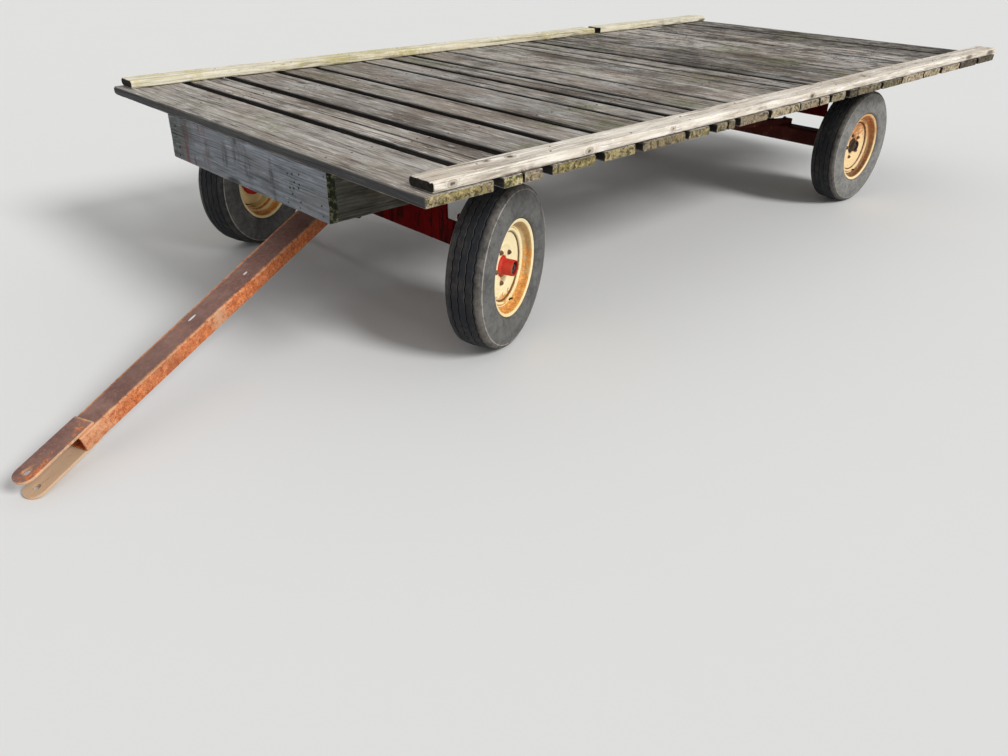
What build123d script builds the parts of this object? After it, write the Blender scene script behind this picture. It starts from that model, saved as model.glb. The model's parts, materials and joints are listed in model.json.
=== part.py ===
from build123d import *
from math import asin, atan, cos, degrees, hypot, radians, sin
import os

os.makedirs("parts", exist_ok=True)

# Frame: +X forward to the tongue, +Y left, +Z up, millimetres.
# The origin lies on the ground, midway between the deck's rear edge and the tongue's tip.

# Deck planks, laid across the wagon from the front edge back
# Columns: width along the wagon, gap behind the plank
plank_rows = [
    (302, 44), (96, 4), (96, 48), (240, 50), (190, 40), (292, 22), (150, 46), (88, 5),
    (56, 36), (242, 21), (262, 4), (184, 10), (101, 20), (150, 44), (90, 11), (270, 14),
    (235, 8), (286, 12), (232, 24), (270, 8), (266, 40), (268, 0),
]
deck_width = 2438.0
plank_thickness = 41.0

# Rails nailed flat along the deck's edges
rail_width = 128.0
rail_thickness = 38.0
rail_inset = 5.0
left_rail_setback = 40.0
right_rail_setback = 70.0
right_rail_joint = 3480.0
rail_joint_gap = 60.0

# Sills and end boards under the planks
sill_depth = 198.0
sill_thickness = 89.0
sill_outer_width = 1290.0
board_thickness = 40.0
board_setback = 6.0

# Running gear, places along the wagon measured back from the deck's front edge
front_axle_back = 577.0
rear_axle_back = 3735.0
steel = 10.0
beam_width = 100.0
beam_corner = 16.0
front_beam_bottom = 402.0
front_beam_depth = 190.0
beam_end_gap = 22.0
rear_beam_bottom = 300.0
rear_beam_depth = 95.0
bolster_depth = 100.0
bolster_overhang = 55.0
bolster_post_width = 80.0
bolster_post_place = 250.0
stake_width = 60.0
stake_thickness = 8.0
stake_rise = 105.0

# Reach pole and the hounds that brace it
reach_radius = 32.0
reach_wall = 6.0
reach_height = 440.0
reach_tail = 160.0
collar_radius = 46.0
collar_length = 100.0
clamp_width = 100.0
hound_width = 40.0
hound_depth = 36.0
rear_hound_run = 850.0
rear_hound_spread = 430.0
front_hound_run = 620.0
front_hound_spread = 380.0

# Steering, drawn at the angle it is parked at, to the left
steer_angle = 22.0
kingpin_outset = 112.0
kingpin_radius = 16.0
boss_radius = 32.0
boss_height = 113.0
ear_radius = 34.0
ear_thickness = 14.0
turn_gap = 5.0
yoke_reach = 60.0
yoke_plate = 15.0
yoke_plate_width = 80.0
yoke_drop = 45.0
arm_length = 220.0
arm_width = 44.0
arm_eye_radius = 26.0
link_pin_radius = 10.0
link_pin_length = 27.0
link_height = 24.0
link_radius = 15.0
pin_clearance = 0.1

# Steering head, a bell crank round the middle of the front axle
kingbolt_radius = 19.0
kingbolt_head_radius = 30.0
kingbolt_head_height = 20.0
head_plate = 12.0
head_hub_radius = 40.0
head_web_place = 120.0
tongue_pin_place = 190.0
tongue_pin_height = 488.0
tongue_pin_radius = 14.0
cheek_radius = 36.0
cheek_gap = 3.0

# Tongue, a tapered box with a clevis of two plates at its tip
tongue_length = 1810.0
tongue_root_overlap = 34.0
tongue_root_width = 141.0
tongue_tip_width = 88.0
tongue_depth = 60.0
tongue_wall = 6.0
clevis_length = 220.0
clevis_overlap = 70.0
clevis_plate = 10.0
clevis_tip_radius = 40.0
clevis_hole_radius = 13.0
clevis_hole_inset = 45.0

# Wheels: rim and disc, tyre, hub
wheel_radius = 343.0
tyre_half_width = 88.0
tyre_tread_half_width = 60.0
tyre_shoulder_half_width = 81.0
tyre_shoulder_drop = 24.0
tyre_widest_radius = 270.0
bead_radius = 190.5
bead_gap = 0.2
rim_half_width = 70.0
flange_radius = 206.0
flange_thickness = 8.0
well_radius = 165.0
well_front = 29.0
well_back = -24.0
seat_front = 41.0
seat_back = -45.0
rim_wall = 5.0
disc_bore = 45.0
disc_flange_back = -8.0
disc_crown = 27.0
disc_crown_width = 6.5
disc_seat = 17.0
disc_seat_radius = 142.0
stud_circle = 70.0
stud_count = 5
stud_radius = 7.0
stud_hole_radius = 8.0
nut_radius = 12.5
nut_height = 12.0
hub_flange_radius = 86.0
hub_flange_thickness = 14.0
hub_barrel_radius = 34.0
hub_inner_radius = 44.0
hub_back = 78.0
front_hub_reach = 67.0
rear_hub_reach = 38.0
hub_cap_height = 8.0
spindle_radius = 20.0
spindle_length = 120.0
wheel_standoff = 90.0
rear_wheel_outset = 113.0

# Heights that follow from the sizes above
front_beam_top = front_beam_bottom + front_beam_depth
rear_beam_top = rear_beam_bottom + rear_beam_depth
sill_bottom = front_beam_top
plank_bottom = sill_bottom + sill_depth
deck_top = plank_bottom + plank_thickness
bolster_bottom = sill_bottom - bolster_depth
ear_top = front_beam_bottom - turn_gap
ear_bottom = ear_top - ear_thickness
upper_ear_bottom = front_beam_bottom + boss_height + turn_gap
sill_place = (sill_outer_width - sill_thickness) / 2

# Places across the wagon that follow from the sills
kingpin_half_track = sill_outer_width / 2 + kingpin_outset
front_beam_half_length = kingpin_half_track - beam_end_gap
bolster_half_length = sill_outer_width / 2 + bolster_overhang
rear_half_track = kingpin_half_track + rear_wheel_outset

# The tongue's slope, which lays the lower clevis plate's end on the ground
tongue_half_depth = tongue_depth / 2 + clevis_plate
tongue_slope = degrees(
    asin(tongue_pin_height / hypot(tongue_length, tongue_half_depth))
    - atan(tongue_half_depth / tongue_length)
)

# Lengths along the wagon
deck_length = sum(width + gap for width, gap in plank_rows)
turn = radians(steer_angle)
slope = radians(tongue_slope)
tip_centre = tongue_length - clevis_tip_radius
tongue_reach = (
    tongue_pin_place * cos(turn)
    + tip_centre * cos(slope) * cos(turn)
    + clevis_tip_radius * hypot(cos(slope) * cos(turn), sin(turn))
    + tongue_half_depth * sin(slope) * cos(turn)
)
deck_front = (deck_length + front_axle_back - tongue_reach) / 2
deck_rear = deck_front - deck_length
front_axle = deck_front - front_axle_back
rear_axle = deck_front - rear_axle_back


def turned(x, y, angle, z=0.0):
    """A level plane at a point, turned about the vertical."""
    return Plane(origin=(x, y, z), x_dir=(cos(radians(angle)), sin(radians(angle)), 0), z_dir=(0, 0, 1))


def finish(builder, name):
    """Labels a finished piece and writes its file."""
    builder.part.label = name
    export_step(builder.part, f"parts/{name}.step")


def crosswise(x, z=0.0):
    """A plane that faces right, for profiles that run across the wagon: local x forward, y up."""
    return Plane(origin=(x, 0, z), x_dir=(1, 0, 0), z_dir=(0, -1, 0))


# Deck planks
with BuildPart() as deck_planks:
    front_edge = deck_front
    for plank_width, gap_behind in plank_rows:
        with BuildSketch(Plane.XY.offset(plank_bottom)):
            with Locations((front_edge - plank_width / 2, 0)):
                Rectangle(plank_width, deck_width)
        extrude(amount=plank_thickness)
        front_edge -= plank_width + gap_behind
finish(deck_planks, "deck_planks")

# Rails, columns: name, side, front setback, lengths from the deck's front edge
rail_place = deck_width / 2 - rail_inset - rail_width / 2
rail_rows = [
    ("left_rail", 1, left_rail_setback, deck_length),
    ("right_rail_front", -1, right_rail_setback, right_rail_joint),
    ("right_rail_rear", -1, right_rail_joint + rail_joint_gap, deck_length),
]
for name, side, start, end in rail_rows:
    with BuildPart() as rail:
        with BuildSketch(Plane.XY.offset(deck_top)):
            with Locations((deck_front - (start + end) / 2, side * rail_place)):
                Rectangle(end - start, rail_width)
        extrude(amount=rail_thickness)
    finish(rail, name)

# Sills between the two end boards
sill_front = deck_front - board_setback - board_thickness
sill_rear = deck_rear + board_setback + board_thickness
for name, side in (("left_sill", 1), ("right_sill", -1)):
    with BuildPart() as sill:
        with BuildSketch(Plane.XY.offset(sill_bottom)):
            with Locations(((sill_front + sill_rear) / 2, side * sill_place)):
                Rectangle(sill_front - sill_rear, sill_thickness)
        extrude(amount=sill_depth)
    finish(sill, name)

# End boards nailed across the sills' ends
for name, place in (("front_board", sill_front + board_thickness / 2), ("rear_board", sill_rear - board_thickness / 2)):
    with BuildPart() as end_board:
        with BuildSketch(Plane.XY.offset(sill_bottom)):
            with Locations((place, 0)):
                Rectangle(board_thickness, sill_outer_width)
        extrude(amount=sill_depth)
    finish(end_board, name)


def channel_profile(depth):
    """The section of a pressed channel that opens to the rear, its bottom edge at local height 0."""
    with Locations((0, depth / 2)):
        Rectangle(beam_width, depth)
    fillet(vertices().group_by(Axis.X)[-1], beam_corner)
    with Locations((-steel, depth / 2)):
        Rectangle(beam_width, depth - 2 * steel, mode=Mode.SUBTRACT)


# Front axle: a deep channel with a king tube in the middle and a kingpin boss at each end
reach_plate_half_width = 90.0
notch_place = kingpin_half_track - boss_radius - 6 * turn_gap
with BuildPart() as front_axle_beam:
    with BuildSketch(crosswise(front_axle, front_beam_bottom)):
        channel_profile(front_beam_depth)
    extrude(amount=front_beam_half_length, both=True)
    # The upper corners are cut away for the knuckles' upper ears
    with BuildSketch(Plane.XY.offset(front_beam_bottom + boss_height)):
        with Locations(
            (front_axle, (notch_place + front_beam_half_length) / 2 + 1),
            (front_axle, -(notch_place + front_beam_half_length) / 2 - 1),
        ):
            Rectangle(2 * beam_width, front_beam_half_length - notch_place + 2)
    extrude(amount=front_beam_depth, mode=Mode.SUBTRACT)
    with BuildSketch(Plane.XY.offset(front_beam_bottom)):
        with Locations((front_axle, kingpin_half_track), (front_axle, -kingpin_half_track)):
            Circle(boss_radius)
    extrude(amount=boss_height)
    with BuildSketch(Plane.XY.offset(front_beam_bottom)):
        with Locations((front_axle, 0)):
            Circle(boss_radius)
    extrude(amount=front_beam_depth)
    # The plate behind the king tube that the reach pole butts on
    with BuildSketch(Plane.XY.offset(front_beam_bottom)):
        with Locations((front_axle - beam_width / 2 - steel / 2, 0)):
            Rectangle(steel, 2 * reach_plate_half_width)
    extrude(amount=front_beam_depth)
    # Stakes that hold the sills
    with BuildSketch(Plane.XY.offset(front_beam_top - steel)):
        with Locations(
            (front_axle, sill_outer_width / 2 + stake_thickness / 2),
            (front_axle, -sill_outer_width / 2 - stake_thickness / 2),
        ):
            Rectangle(stake_width, stake_thickness)
    extrude(amount=stake_rise + steel)
    with BuildSketch(Plane.XY.offset(front_beam_bottom)):
        with Locations((front_axle, kingpin_half_track), (front_axle, -kingpin_half_track)):
            Circle(kingpin_radius + pin_clearance)
        with Locations((front_axle, 0)):
            Circle(kingbolt_radius + pin_clearance)
    extrude(amount=front_beam_depth, mode=Mode.SUBTRACT)
finish(front_axle_beam, "front_axle")

# Rear axle: a shallow channel with end plates, spindles and the reach clamp
rear_plate_outside = rear_half_track - wheel_standoff
with BuildPart() as rear_axle_beam:
    with BuildSketch(crosswise(rear_axle, rear_beam_bottom)):
        channel_profile(rear_beam_depth)
    extrude(amount=rear_plate_outside - yoke_plate, both=True)
    for side in (1, -1):
        end_plane = Plane(
            origin=(rear_axle, side * rear_plate_outside, rear_beam_bottom + rear_beam_depth / 2),
            x_dir=(1, 0, 0),
            z_dir=(0, side, 0),
        )
        with BuildSketch(end_plane):
            Rectangle(beam_width, rear_beam_depth)
        extrude(amount=-yoke_plate)
        spindle_plane = Plane(
            origin=(rear_axle, side * rear_plate_outside, wheel_radius), x_dir=(1, 0, 0), z_dir=(0, side, 0)
        )
        with BuildSketch(spindle_plane):
            Circle(spindle_radius)
        extrude(amount=spindle_length)
    with BuildSketch(Plane.XY.offset(rear_beam_top - steel)):
        with Locations((rear_axle, 0)):
            Rectangle(beam_width, clamp_width)
    extrude(amount=reach_height + collar_radius - rear_beam_top + steel)
    with BuildSketch(Plane.YZ.offset(rear_axle - beam_width)):
        with Locations((0, reach_height)):
            Circle(reach_radius + pin_clearance)
    extrude(amount=2 * beam_width, mode=Mode.SUBTRACT)
finish(rear_axle_beam, "rear_axle")

# Rear bolster: a channel on two posts, with stakes for the sills
with BuildPart() as rear_bolster:
    with BuildSketch(crosswise(rear_axle, bolster_bottom)):
        channel_profile(bolster_depth)
    extrude(amount=bolster_half_length, both=True)
    with BuildSketch(Plane.XY.offset(rear_beam_top)):
        with Locations((rear_axle, bolster_post_place), (rear_axle, -bolster_post_place)):
            Rectangle(beam_width, bolster_post_width)
    extrude(amount=bolster_bottom - rear_beam_top + steel)
    with BuildSketch(Plane.XY.offset(sill_bottom - steel)):
        with Locations(
            (rear_axle, sill_outer_width / 2 + stake_thickness / 2),
            (rear_axle, -sill_outer_width / 2 - stake_thickness / 2),
        ):
            Rectangle(stake_width, stake_thickness)
    extrude(amount=stake_rise + steel)
finish(rear_bolster, "rear_bolster")

# Reach pole, a tube from the front axle's plate to behind the rear axle
reach_front = front_axle - beam_width / 2 - steel
reach_rear = rear_axle - reach_tail
with BuildPart() as reach_pole:
    with BuildSketch(Plane.YZ.offset(reach_rear)):
        with Locations((0, reach_height)):
            Circle(reach_radius)
            Circle(reach_radius - reach_wall, mode=Mode.SUBTRACT)
    extrude(amount=reach_front - reach_rear)
finish(reach_pole, "reach_pole")


# Hounds: a square collar round the reach and two bars that spread from it to a beam
# The rear bars lie on the rear axle's top, the front bars butt on the front axle's web
# Columns: name, place of the collar, place of the bars' feet, spread of the feet, level of the bars
hound_rows = [
    (
        "rear",
        rear_axle + beam_width / 2 + rear_hound_run,
        rear_axle - beam_width / 2 + steel,
        rear_hound_spread,
        rear_beam_top,
    ),
    (
        "front",
        front_axle - front_hound_run,
        front_axle + beam_width / 2 - steel,
        front_hound_spread,
        front_beam_bottom + 2 * steel,
    ),
]
for end_name, collar_x, foot_x, foot_y, level in hound_rows:
    away = 1 if collar_x > foot_x else -1
    with BuildPart() as collar:
        with BuildSketch(Plane.YZ.offset(collar_x - collar_length / 2)):
            with Locations((0, reach_height)):
                Rectangle(2 * collar_radius, 2 * collar_radius)
                Circle(reach_radius + pin_clearance, mode=Mode.SUBTRACT)
        extrude(amount=collar_length)
    finish(collar, f"{end_name}_hound_collar")
    for side_name, side in (("left", 1), ("right", -1)):
        with BuildPart() as hound:
            with BuildSketch(Plane.XY.offset(level)):
                Polygon(
                    (collar_x - away * collar_length / 2, side * collar_radius),
                    (collar_x + away * collar_length / 2, side * collar_radius),
                    (foot_x, side * foot_y),
                    (foot_x, side * (foot_y - hound_width)),
                    align=None,
                )
            extrude(amount=hound_depth)
        finish(hound, f"{end_name}_{side_name}_hound")

# Knuckles: a yoke round each boss, a dropped spindle and a steering arm that points back
for name, side in (("left_knuckle", 1), ("right_knuckle", -1)):
    station = turned(front_axle, side * kingpin_half_track, steer_angle)
    outboard = station.y_dir * side
    with BuildPart() as knuckle:
        for ear_level in (ear_bottom, upper_ear_bottom):
            with BuildSketch(station.offset(ear_level)):
                Circle(ear_radius)
                with Locations((0, side * yoke_reach / 2)):
                    Rectangle(2 * ear_radius, yoke_reach)
            extrude(amount=ear_thickness)
        with BuildSketch(station.offset(wheel_radius - yoke_drop)):
            with Locations((0, side * (yoke_reach - yoke_plate / 2))):
                Rectangle(yoke_plate_width, yoke_plate)
        extrude(amount=upper_ear_bottom + ear_thickness - wheel_radius + yoke_drop)
        with BuildSketch(station.offset(ear_bottom)):
            Circle(kingpin_radius)
        extrude(amount=upper_ear_bottom - ear_bottom + ear_thickness)
        with BuildSketch(station.offset(ear_bottom)):
            with Locations((-arm_length / 2, 0)):
                Rectangle(arm_length, arm_width)
            with Locations((-arm_length, 0)):
                Circle(arm_eye_radius)
        extrude(amount=ear_thickness)
        with BuildSketch(station.offset(ear_bottom - link_pin_length)):
            with Locations((-arm_length, 0)):
                Circle(link_pin_radius)
        extrude(amount=link_pin_length)
        spindle_base = station.origin + outboard * yoke_reach + Vector(0, 0, wheel_radius)
        with BuildSketch(Plane(origin=spindle_base, x_dir=station.x_dir, z_dir=outboard)):
            Circle(spindle_radius)
        extrude(amount=spindle_length)
    finish(knuckle, name)

# Steering head
head_half_width = tongue_root_width / 2 + cheek_gap + head_plate
head_top = front_beam_top + turn_gap + head_plate
head_station = turned(front_axle, 0, steer_angle)


def head_outline():
    """The plate shape that widens from the king bolt to the tongue's web."""
    Polygon(
        (0, head_hub_radius),
        (head_web_place, head_half_width),
        (head_web_place + head_plate, head_half_width),
        (head_web_place + head_plate, -head_half_width),
        (head_web_place, -head_half_width),
        (0, -head_hub_radius),
        align=None,
    )


with BuildPart() as steering_head:
    with BuildSketch(head_station.offset(ear_bottom)):
        Circle(head_hub_radius)
        with Locations((-arm_length / 2, 0)):
            Rectangle(arm_length, arm_width)
        with Locations((-arm_length, 0)):
            Circle(arm_eye_radius)
        head_outline()
    extrude(amount=ear_thickness)
    with BuildSketch(head_station.offset(front_beam_top + turn_gap)):
        Circle(head_hub_radius)
        head_outline()
    extrude(amount=head_plate)
    with BuildSketch(head_station.offset(ear_bottom)):
        with Locations((head_web_place + head_plate / 2, 0)):
            Rectangle(head_plate, 2 * head_half_width)
    extrude(amount=head_top - ear_bottom)
    with BuildSketch(head_station.offset(ear_bottom)):
        Circle(kingbolt_radius)
    extrude(amount=head_top - ear_bottom)
    with BuildSketch(head_station.offset(head_top)):
        RegularPolygon(kingbolt_head_radius, 6)
    extrude(amount=kingbolt_head_height)
    # Cheeks on both sides of the tongue
    for side in (1, -1):
        cheek_plane = Plane(
            origin=head_station.origin + head_station.y_dir * (side * head_half_width),
            x_dir=head_station.x_dir,
            z_dir=-head_station.y_dir,
        )
        with BuildSketch(cheek_plane):
            with Locations((tongue_pin_place, tongue_pin_height)):
                Circle(cheek_radius)
            Polygon(
                (head_web_place, ear_bottom),
                (tongue_pin_place, tongue_pin_height - cheek_radius),
                (tongue_pin_place, tongue_pin_height + cheek_radius),
                (head_web_place, head_top),
                align=None,
            )
        extrude(amount=side * head_plate)
    pin_plane = Plane(
        origin=head_station.origin
        + head_station.x_dir * tongue_pin_place
        + Vector(0, 0, tongue_pin_height)
        - head_station.y_dir * head_half_width,
        x_dir=head_station.x_dir,
        z_dir=head_station.y_dir,
    )
    with BuildSketch(pin_plane):
        Circle(tongue_pin_radius)
    extrude(amount=2 * head_half_width)
    with BuildSketch(head_station.offset(ear_bottom - link_pin_length)):
        with Locations((-arm_length, 0)):
            Circle(link_pin_radius)
    extrude(amount=link_pin_length)
finish(steering_head, "steering_head")

# Tie rod: one bar across the three steering arms, with an eye for each
link_shift = turned(front_axle, 0, steer_angle).x_dir * -arm_length
link_top = ear_bottom - 1.0
with BuildPart() as tie_rod:
    eye_places = [(front_axle + link_shift.X, link_shift.Y + y) for y in (-kingpin_half_track, 0, kingpin_half_track)]
    with BuildSketch(Plane.XY.offset(link_top - link_height)):
        with Locations(*eye_places):
            Circle(arm_eye_radius)
    extrude(amount=link_height)
    with BuildSketch(
        Plane(
            origin=(front_axle + link_shift.X, link_shift.Y - kingpin_half_track, link_top - link_height / 2),
            x_dir=(1, 0, 0),
            z_dir=(0, 1, 0),
        )
    ):
        Rectangle(2 * link_radius, link_height)
    extrude(amount=2 * kingpin_half_track)
    with BuildSketch(Plane.XY.offset(link_top - link_height)):
        with Locations(*eye_places):
            Circle(link_pin_radius + pin_clearance)
    extrude(amount=link_height, mode=Mode.SUBTRACT)
finish(tie_rod, "tie_rod")

# Tongue, in its own plane: local x to the tip, local z up from its centre line
tongue_direction = Vector(cos(slope) * cos(turn), cos(slope) * sin(turn), -sin(slope))
tongue_up = Vector(sin(slope) * cos(turn), sin(slope) * sin(turn), cos(slope))
tongue_root = head_station.origin + head_station.x_dir * tongue_pin_place + Vector(0, 0, tongue_pin_height)
tongue_plane = Plane(origin=tongue_root, x_dir=tongue_direction, z_dir=tongue_up)
box_end = tongue_length - clevis_length


def tongue_outline(start, end, inset):
    """The tapered outline of the box between two places, moved in by an inset on each side."""
    span = tongue_length
    half_root = tongue_root_width / 2 - inset
    half_tip = tongue_tip_width / 2 - inset
    half_start = half_root + (half_tip - half_root) * max(start, 0) / span
    half_end = half_root + (half_tip - half_root) * end / span
    Polygon((start, -half_start), (end, -half_end), (end, half_end), (start, half_start), align=None)


with BuildPart() as tongue:
    with BuildSketch(tongue_plane.offset(-tongue_depth / 2)):
        tongue_outline(-tongue_root_overlap, box_end, 0)
    extrude(amount=tongue_depth)
    root_edges = tongue.edges().filter_by(lambda e: abs((e.center() - tongue_root).dot(tongue_direction) + tongue_root_overlap) < 0.1)
    root_edges = root_edges.filter_by(lambda e: e.length > tongue_depth + 1)
    fillet(root_edges, tongue_depth / 2 - 1)
    with BuildSketch(tongue_plane.offset(-tongue_depth / 2 + tongue_wall)):
        tongue_outline(0, box_end, tongue_wall)
    extrude(amount=tongue_depth - 2 * tongue_wall, mode=Mode.SUBTRACT)
    bore_plane = Plane(
        origin=tongue_root - head_station.y_dir * tongue_root_width, x_dir=tongue_direction, z_dir=head_station.y_dir
    )
    with BuildSketch(bore_plane):
        Circle(tongue_pin_radius + pin_clearance)
    extrude(amount=2 * tongue_root_width, mode=Mode.SUBTRACT)
    for level in (tongue_depth / 2, -tongue_half_depth):
        with BuildSketch(tongue_plane.offset(level)):
            plate_start = box_end - clevis_overlap
            with Locations(((plate_start + tip_centre) / 2, 0)):
                Rectangle(tip_centre - plate_start, 2 * clevis_tip_radius)
            with Locations((tip_centre, 0)):
                Circle(clevis_tip_radius)
            with Locations((tongue_length - clevis_hole_inset, 0)):
                Circle(clevis_hole_radius, mode=Mode.SUBTRACT)
        extrude(amount=clevis_plate)
finish(tongue, "tongue")

# Wheels, columns: name, place of the centre, outboard direction, the hub's reach from the wheel's middle
front_offset = yoke_reach + wheel_standoff
wheel_rows = []
for end_name, side in (("left", 1), ("right", -1)):
    station = turned(front_axle, side * kingpin_half_track, steer_angle)
    outboard = station.y_dir * side
    centre = station.origin + outboard * front_offset + Vector(0, 0, wheel_radius)
    wheel_rows.append((f"front_{end_name}", centre, outboard, front_hub_reach))
    rear_centre = Vector(rear_axle, side * rear_half_track, wheel_radius)
    wheel_rows.append((f"rear_{end_name}", rear_centre, Vector(0, side, 0), rear_hub_reach))

# Rim stations, columns: place along the axle, outer radius, inner radius
rim_rows = [
    (-rim_half_width - flange_thickness, flange_radius, flange_radius - rim_wall),
    (-rim_half_width - 0.5, flange_radius, bead_radius - rim_wall),
    (-rim_half_width, bead_radius, bead_radius - rim_wall),
    (seat_back, bead_radius, bead_radius - rim_wall),
    (well_back, well_radius, well_radius - rim_wall),
    (well_front, well_radius, well_radius - rim_wall),
    (seat_front, bead_radius, bead_radius - rim_wall),
    (rim_half_width, bead_radius, bead_radius - rim_wall),
    (rim_half_width + 0.5, flange_radius, bead_radius - rim_wall),
    (rim_half_width + flange_thickness, flange_radius, flange_radius - rim_wall),
]
# Disc outline, from its flange inside the well over the crown to the seat; columns: place, radius
disc_edge_radius = well_radius - rim_wall
crown_radius = disc_edge_radius - rim_wall
disc_outline = [
    (disc_flange_back, disc_edge_radius + 0.5),
    (disc_crown - rim_wall, disc_edge_radius + 0.5),
    (disc_crown, crown_radius),
    (disc_crown, crown_radius - disc_crown_width),
    (disc_seat, disc_seat_radius),
    (disc_seat, disc_bore),
    (disc_seat - rim_wall, disc_bore),
    (disc_seat - rim_wall, disc_seat_radius - rim_wall / 2),
    (disc_crown - rim_wall, crown_radius - disc_crown_width),
    (disc_crown - rim_wall, crown_radius),
    (disc_flange_back, crown_radius),
]

for name, centre, outboard, hub_reach in wheel_rows:
    section = Plane(origin=centre, x_dir=outboard, z_dir=outboard.cross(Vector(0, 0, 1)))
    spin_axis = Axis(centre, outboard)
    with BuildPart() as tyre:
        with BuildSketch(section):
            with BuildLine():
                bore = bead_radius + bead_gap
                lip = rim_half_width - bead_gap
                half_outline = [
                    (tyre_tread_half_width, wheel_radius),
                    (tyre_shoulder_half_width, wheel_radius - tyre_shoulder_drop),
                    (tyre_half_width, tyre_widest_radius),
                    (lip, flange_radius + bead_gap),
                    (lip, bore),
                ]
                other_half = [(-place, radius) for place, radius in reversed(half_outline)]
                Polyline(*half_outline, *other_half, close=True)
            make_face()
        revolve(axis=spin_axis)
    finish(tyre, f"{name}_tyre")
    with BuildPart() as rim:
        with BuildSketch(section):
            with BuildLine():
                outer_points = [(place, outer) for place, outer, inner in rim_rows]
                inner_points = [(place, inner) for place, outer, inner in reversed(rim_rows)]
                Polyline(*outer_points, *inner_points, close=True)
            make_face()
            with BuildLine():
                Polyline(*disc_outline, close=True)
            make_face()
        revolve(axis=spin_axis)
        stud_plane = Plane(origin=centre, x_dir=(0, 0, 1), z_dir=outboard)
        with BuildSketch(stud_plane):
            with PolarLocations(stud_circle, stud_count):
                Circle(stud_hole_radius)
        extrude(amount=2 * disc_crown, mode=Mode.SUBTRACT)
    finish(rim, f"{name}_rim")
    with BuildPart() as hub:
        flange_front = disc_seat - rim_wall
        with BuildSketch(section):
            with BuildLine():
                Polyline(
                    (-hub_back, 0),
                    (-hub_back, hub_inner_radius),
                    (flange_front - hub_flange_thickness, hub_inner_radius),
                    (flange_front - hub_flange_thickness, hub_flange_radius),
                    (flange_front, hub_flange_radius),
                    (flange_front, hub_barrel_radius),
                    (hub_reach, hub_barrel_radius),
                    (hub_reach + hub_cap_height, hub_barrel_radius - hub_cap_height),
                    (hub_reach + hub_cap_height, 0),
                    close=True,
                )
            make_face()
        revolve(axis=spin_axis)
        with BuildSketch(stud_plane.offset(flange_front)):
            with PolarLocations(stud_circle, stud_count):
                Circle(stud_radius)
        extrude(amount=rim_wall + nut_height)
        with BuildSketch(stud_plane.offset(disc_seat)):
            with PolarLocations(stud_circle, stud_count):
                RegularPolygon(nut_radius, 6)
        extrude(amount=nut_height)
        with BuildSketch(stud_plane.offset(-hub_back)):
            Circle(spindle_radius + pin_clearance)
        extrude(amount=spindle_length - wheel_standoff + hub_back + 2, mode=Mode.SUBTRACT)
    finish(hub, f"{name}_hub")

print("deck length", deck_length, "deck top", deck_top, "tongue slope", round(tongue_slope, 3))
print("deck front", round(deck_front, 3), "front axle", round(front_axle, 3), "rear axle", round(rear_axle, 3))
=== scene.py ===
"""The looks of a weathered hay wagon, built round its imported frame.

Lengths are in metres, in the frame's own axes: +X forward to the tongue, +Y left, +Z up.
"""

import json
import logging
import math
from dataclasses import dataclass, field, replace
from enum import Enum

import bpy
import numpy as np
from mathutils import Matrix, Vector


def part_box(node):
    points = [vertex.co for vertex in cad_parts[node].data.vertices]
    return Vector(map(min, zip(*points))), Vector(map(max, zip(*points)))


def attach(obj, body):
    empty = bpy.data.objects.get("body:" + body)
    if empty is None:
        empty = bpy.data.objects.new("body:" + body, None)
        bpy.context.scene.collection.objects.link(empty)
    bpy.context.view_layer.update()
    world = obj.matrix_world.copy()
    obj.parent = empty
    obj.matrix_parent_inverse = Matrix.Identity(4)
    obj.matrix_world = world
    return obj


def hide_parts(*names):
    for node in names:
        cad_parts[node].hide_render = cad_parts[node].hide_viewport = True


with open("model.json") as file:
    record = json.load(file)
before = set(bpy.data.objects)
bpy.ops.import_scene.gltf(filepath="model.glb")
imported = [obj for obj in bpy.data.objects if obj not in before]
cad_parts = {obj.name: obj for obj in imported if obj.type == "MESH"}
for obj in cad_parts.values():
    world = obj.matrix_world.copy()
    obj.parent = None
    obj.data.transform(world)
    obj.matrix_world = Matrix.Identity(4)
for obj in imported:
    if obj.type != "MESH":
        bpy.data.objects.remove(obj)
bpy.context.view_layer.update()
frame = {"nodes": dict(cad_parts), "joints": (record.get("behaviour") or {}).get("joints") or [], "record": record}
LOG = logging.getLogger("hay_wagon")
Array = np.ndarray
Socket = bpy.types.NodeSocket
Material = bpy.types.Material
Colour = tuple[float, float, float]
Pair = tuple[float, float]
Triple = tuple[float, float, float]
Spot = tuple[float, float, float, float]
Coat = tuple[object, ...]
X_AXIS, Y_AXIS, Z_AXIS = np.eye(3)
NOISE_PERIOD = 64


# Numbers that repeat without a pattern


def smooth_noise(x: Array, y: Array, seed: int) -> Array:
    """Value noise: random heights on a unit lattice, blended by the smooth step 3t^2 - 2t^3.

    Args:
        x: First coordinate, any shape.
        y: Second coordinate, of a shape that broadcasts with x.
        seed: Chooses the lattice's heights.

    Returns:
        Heights from -1 to 1, in the broadcast shape.
    """
    lattice = np.random.default_rng(seed).uniform(-1.0, 1.0, (NOISE_PERIOD, NOISE_PERIOD))
    x, y = np.broadcast_arrays(np.asarray(x, float), np.asarray(y, float))
    column, row = np.floor(x).astype(int), np.floor(y).astype(int)
    across, along = (t * t * (3 - 2 * t) for t in (x - column, y - row))

    def row_heights(number: Array) -> Array:
        """Heights on lattice rows, blended between their columns."""
        here, ahead = (lattice[k % NOISE_PERIOD, number % NOISE_PERIOD] for k in (column, column + 1))
        return here * (1 - across) + ahead * across

    return row_heights(row) * (1 - along) + row_heights(row + 1) * along


def hump(places: Array, middle: float, reach: float) -> Array:
    """How near numbers are to one number: exp(-((x - middle) / reach)^2)."""
    return np.exp(-(((places - middle) / reach) ** 2))


# Meshes


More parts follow.
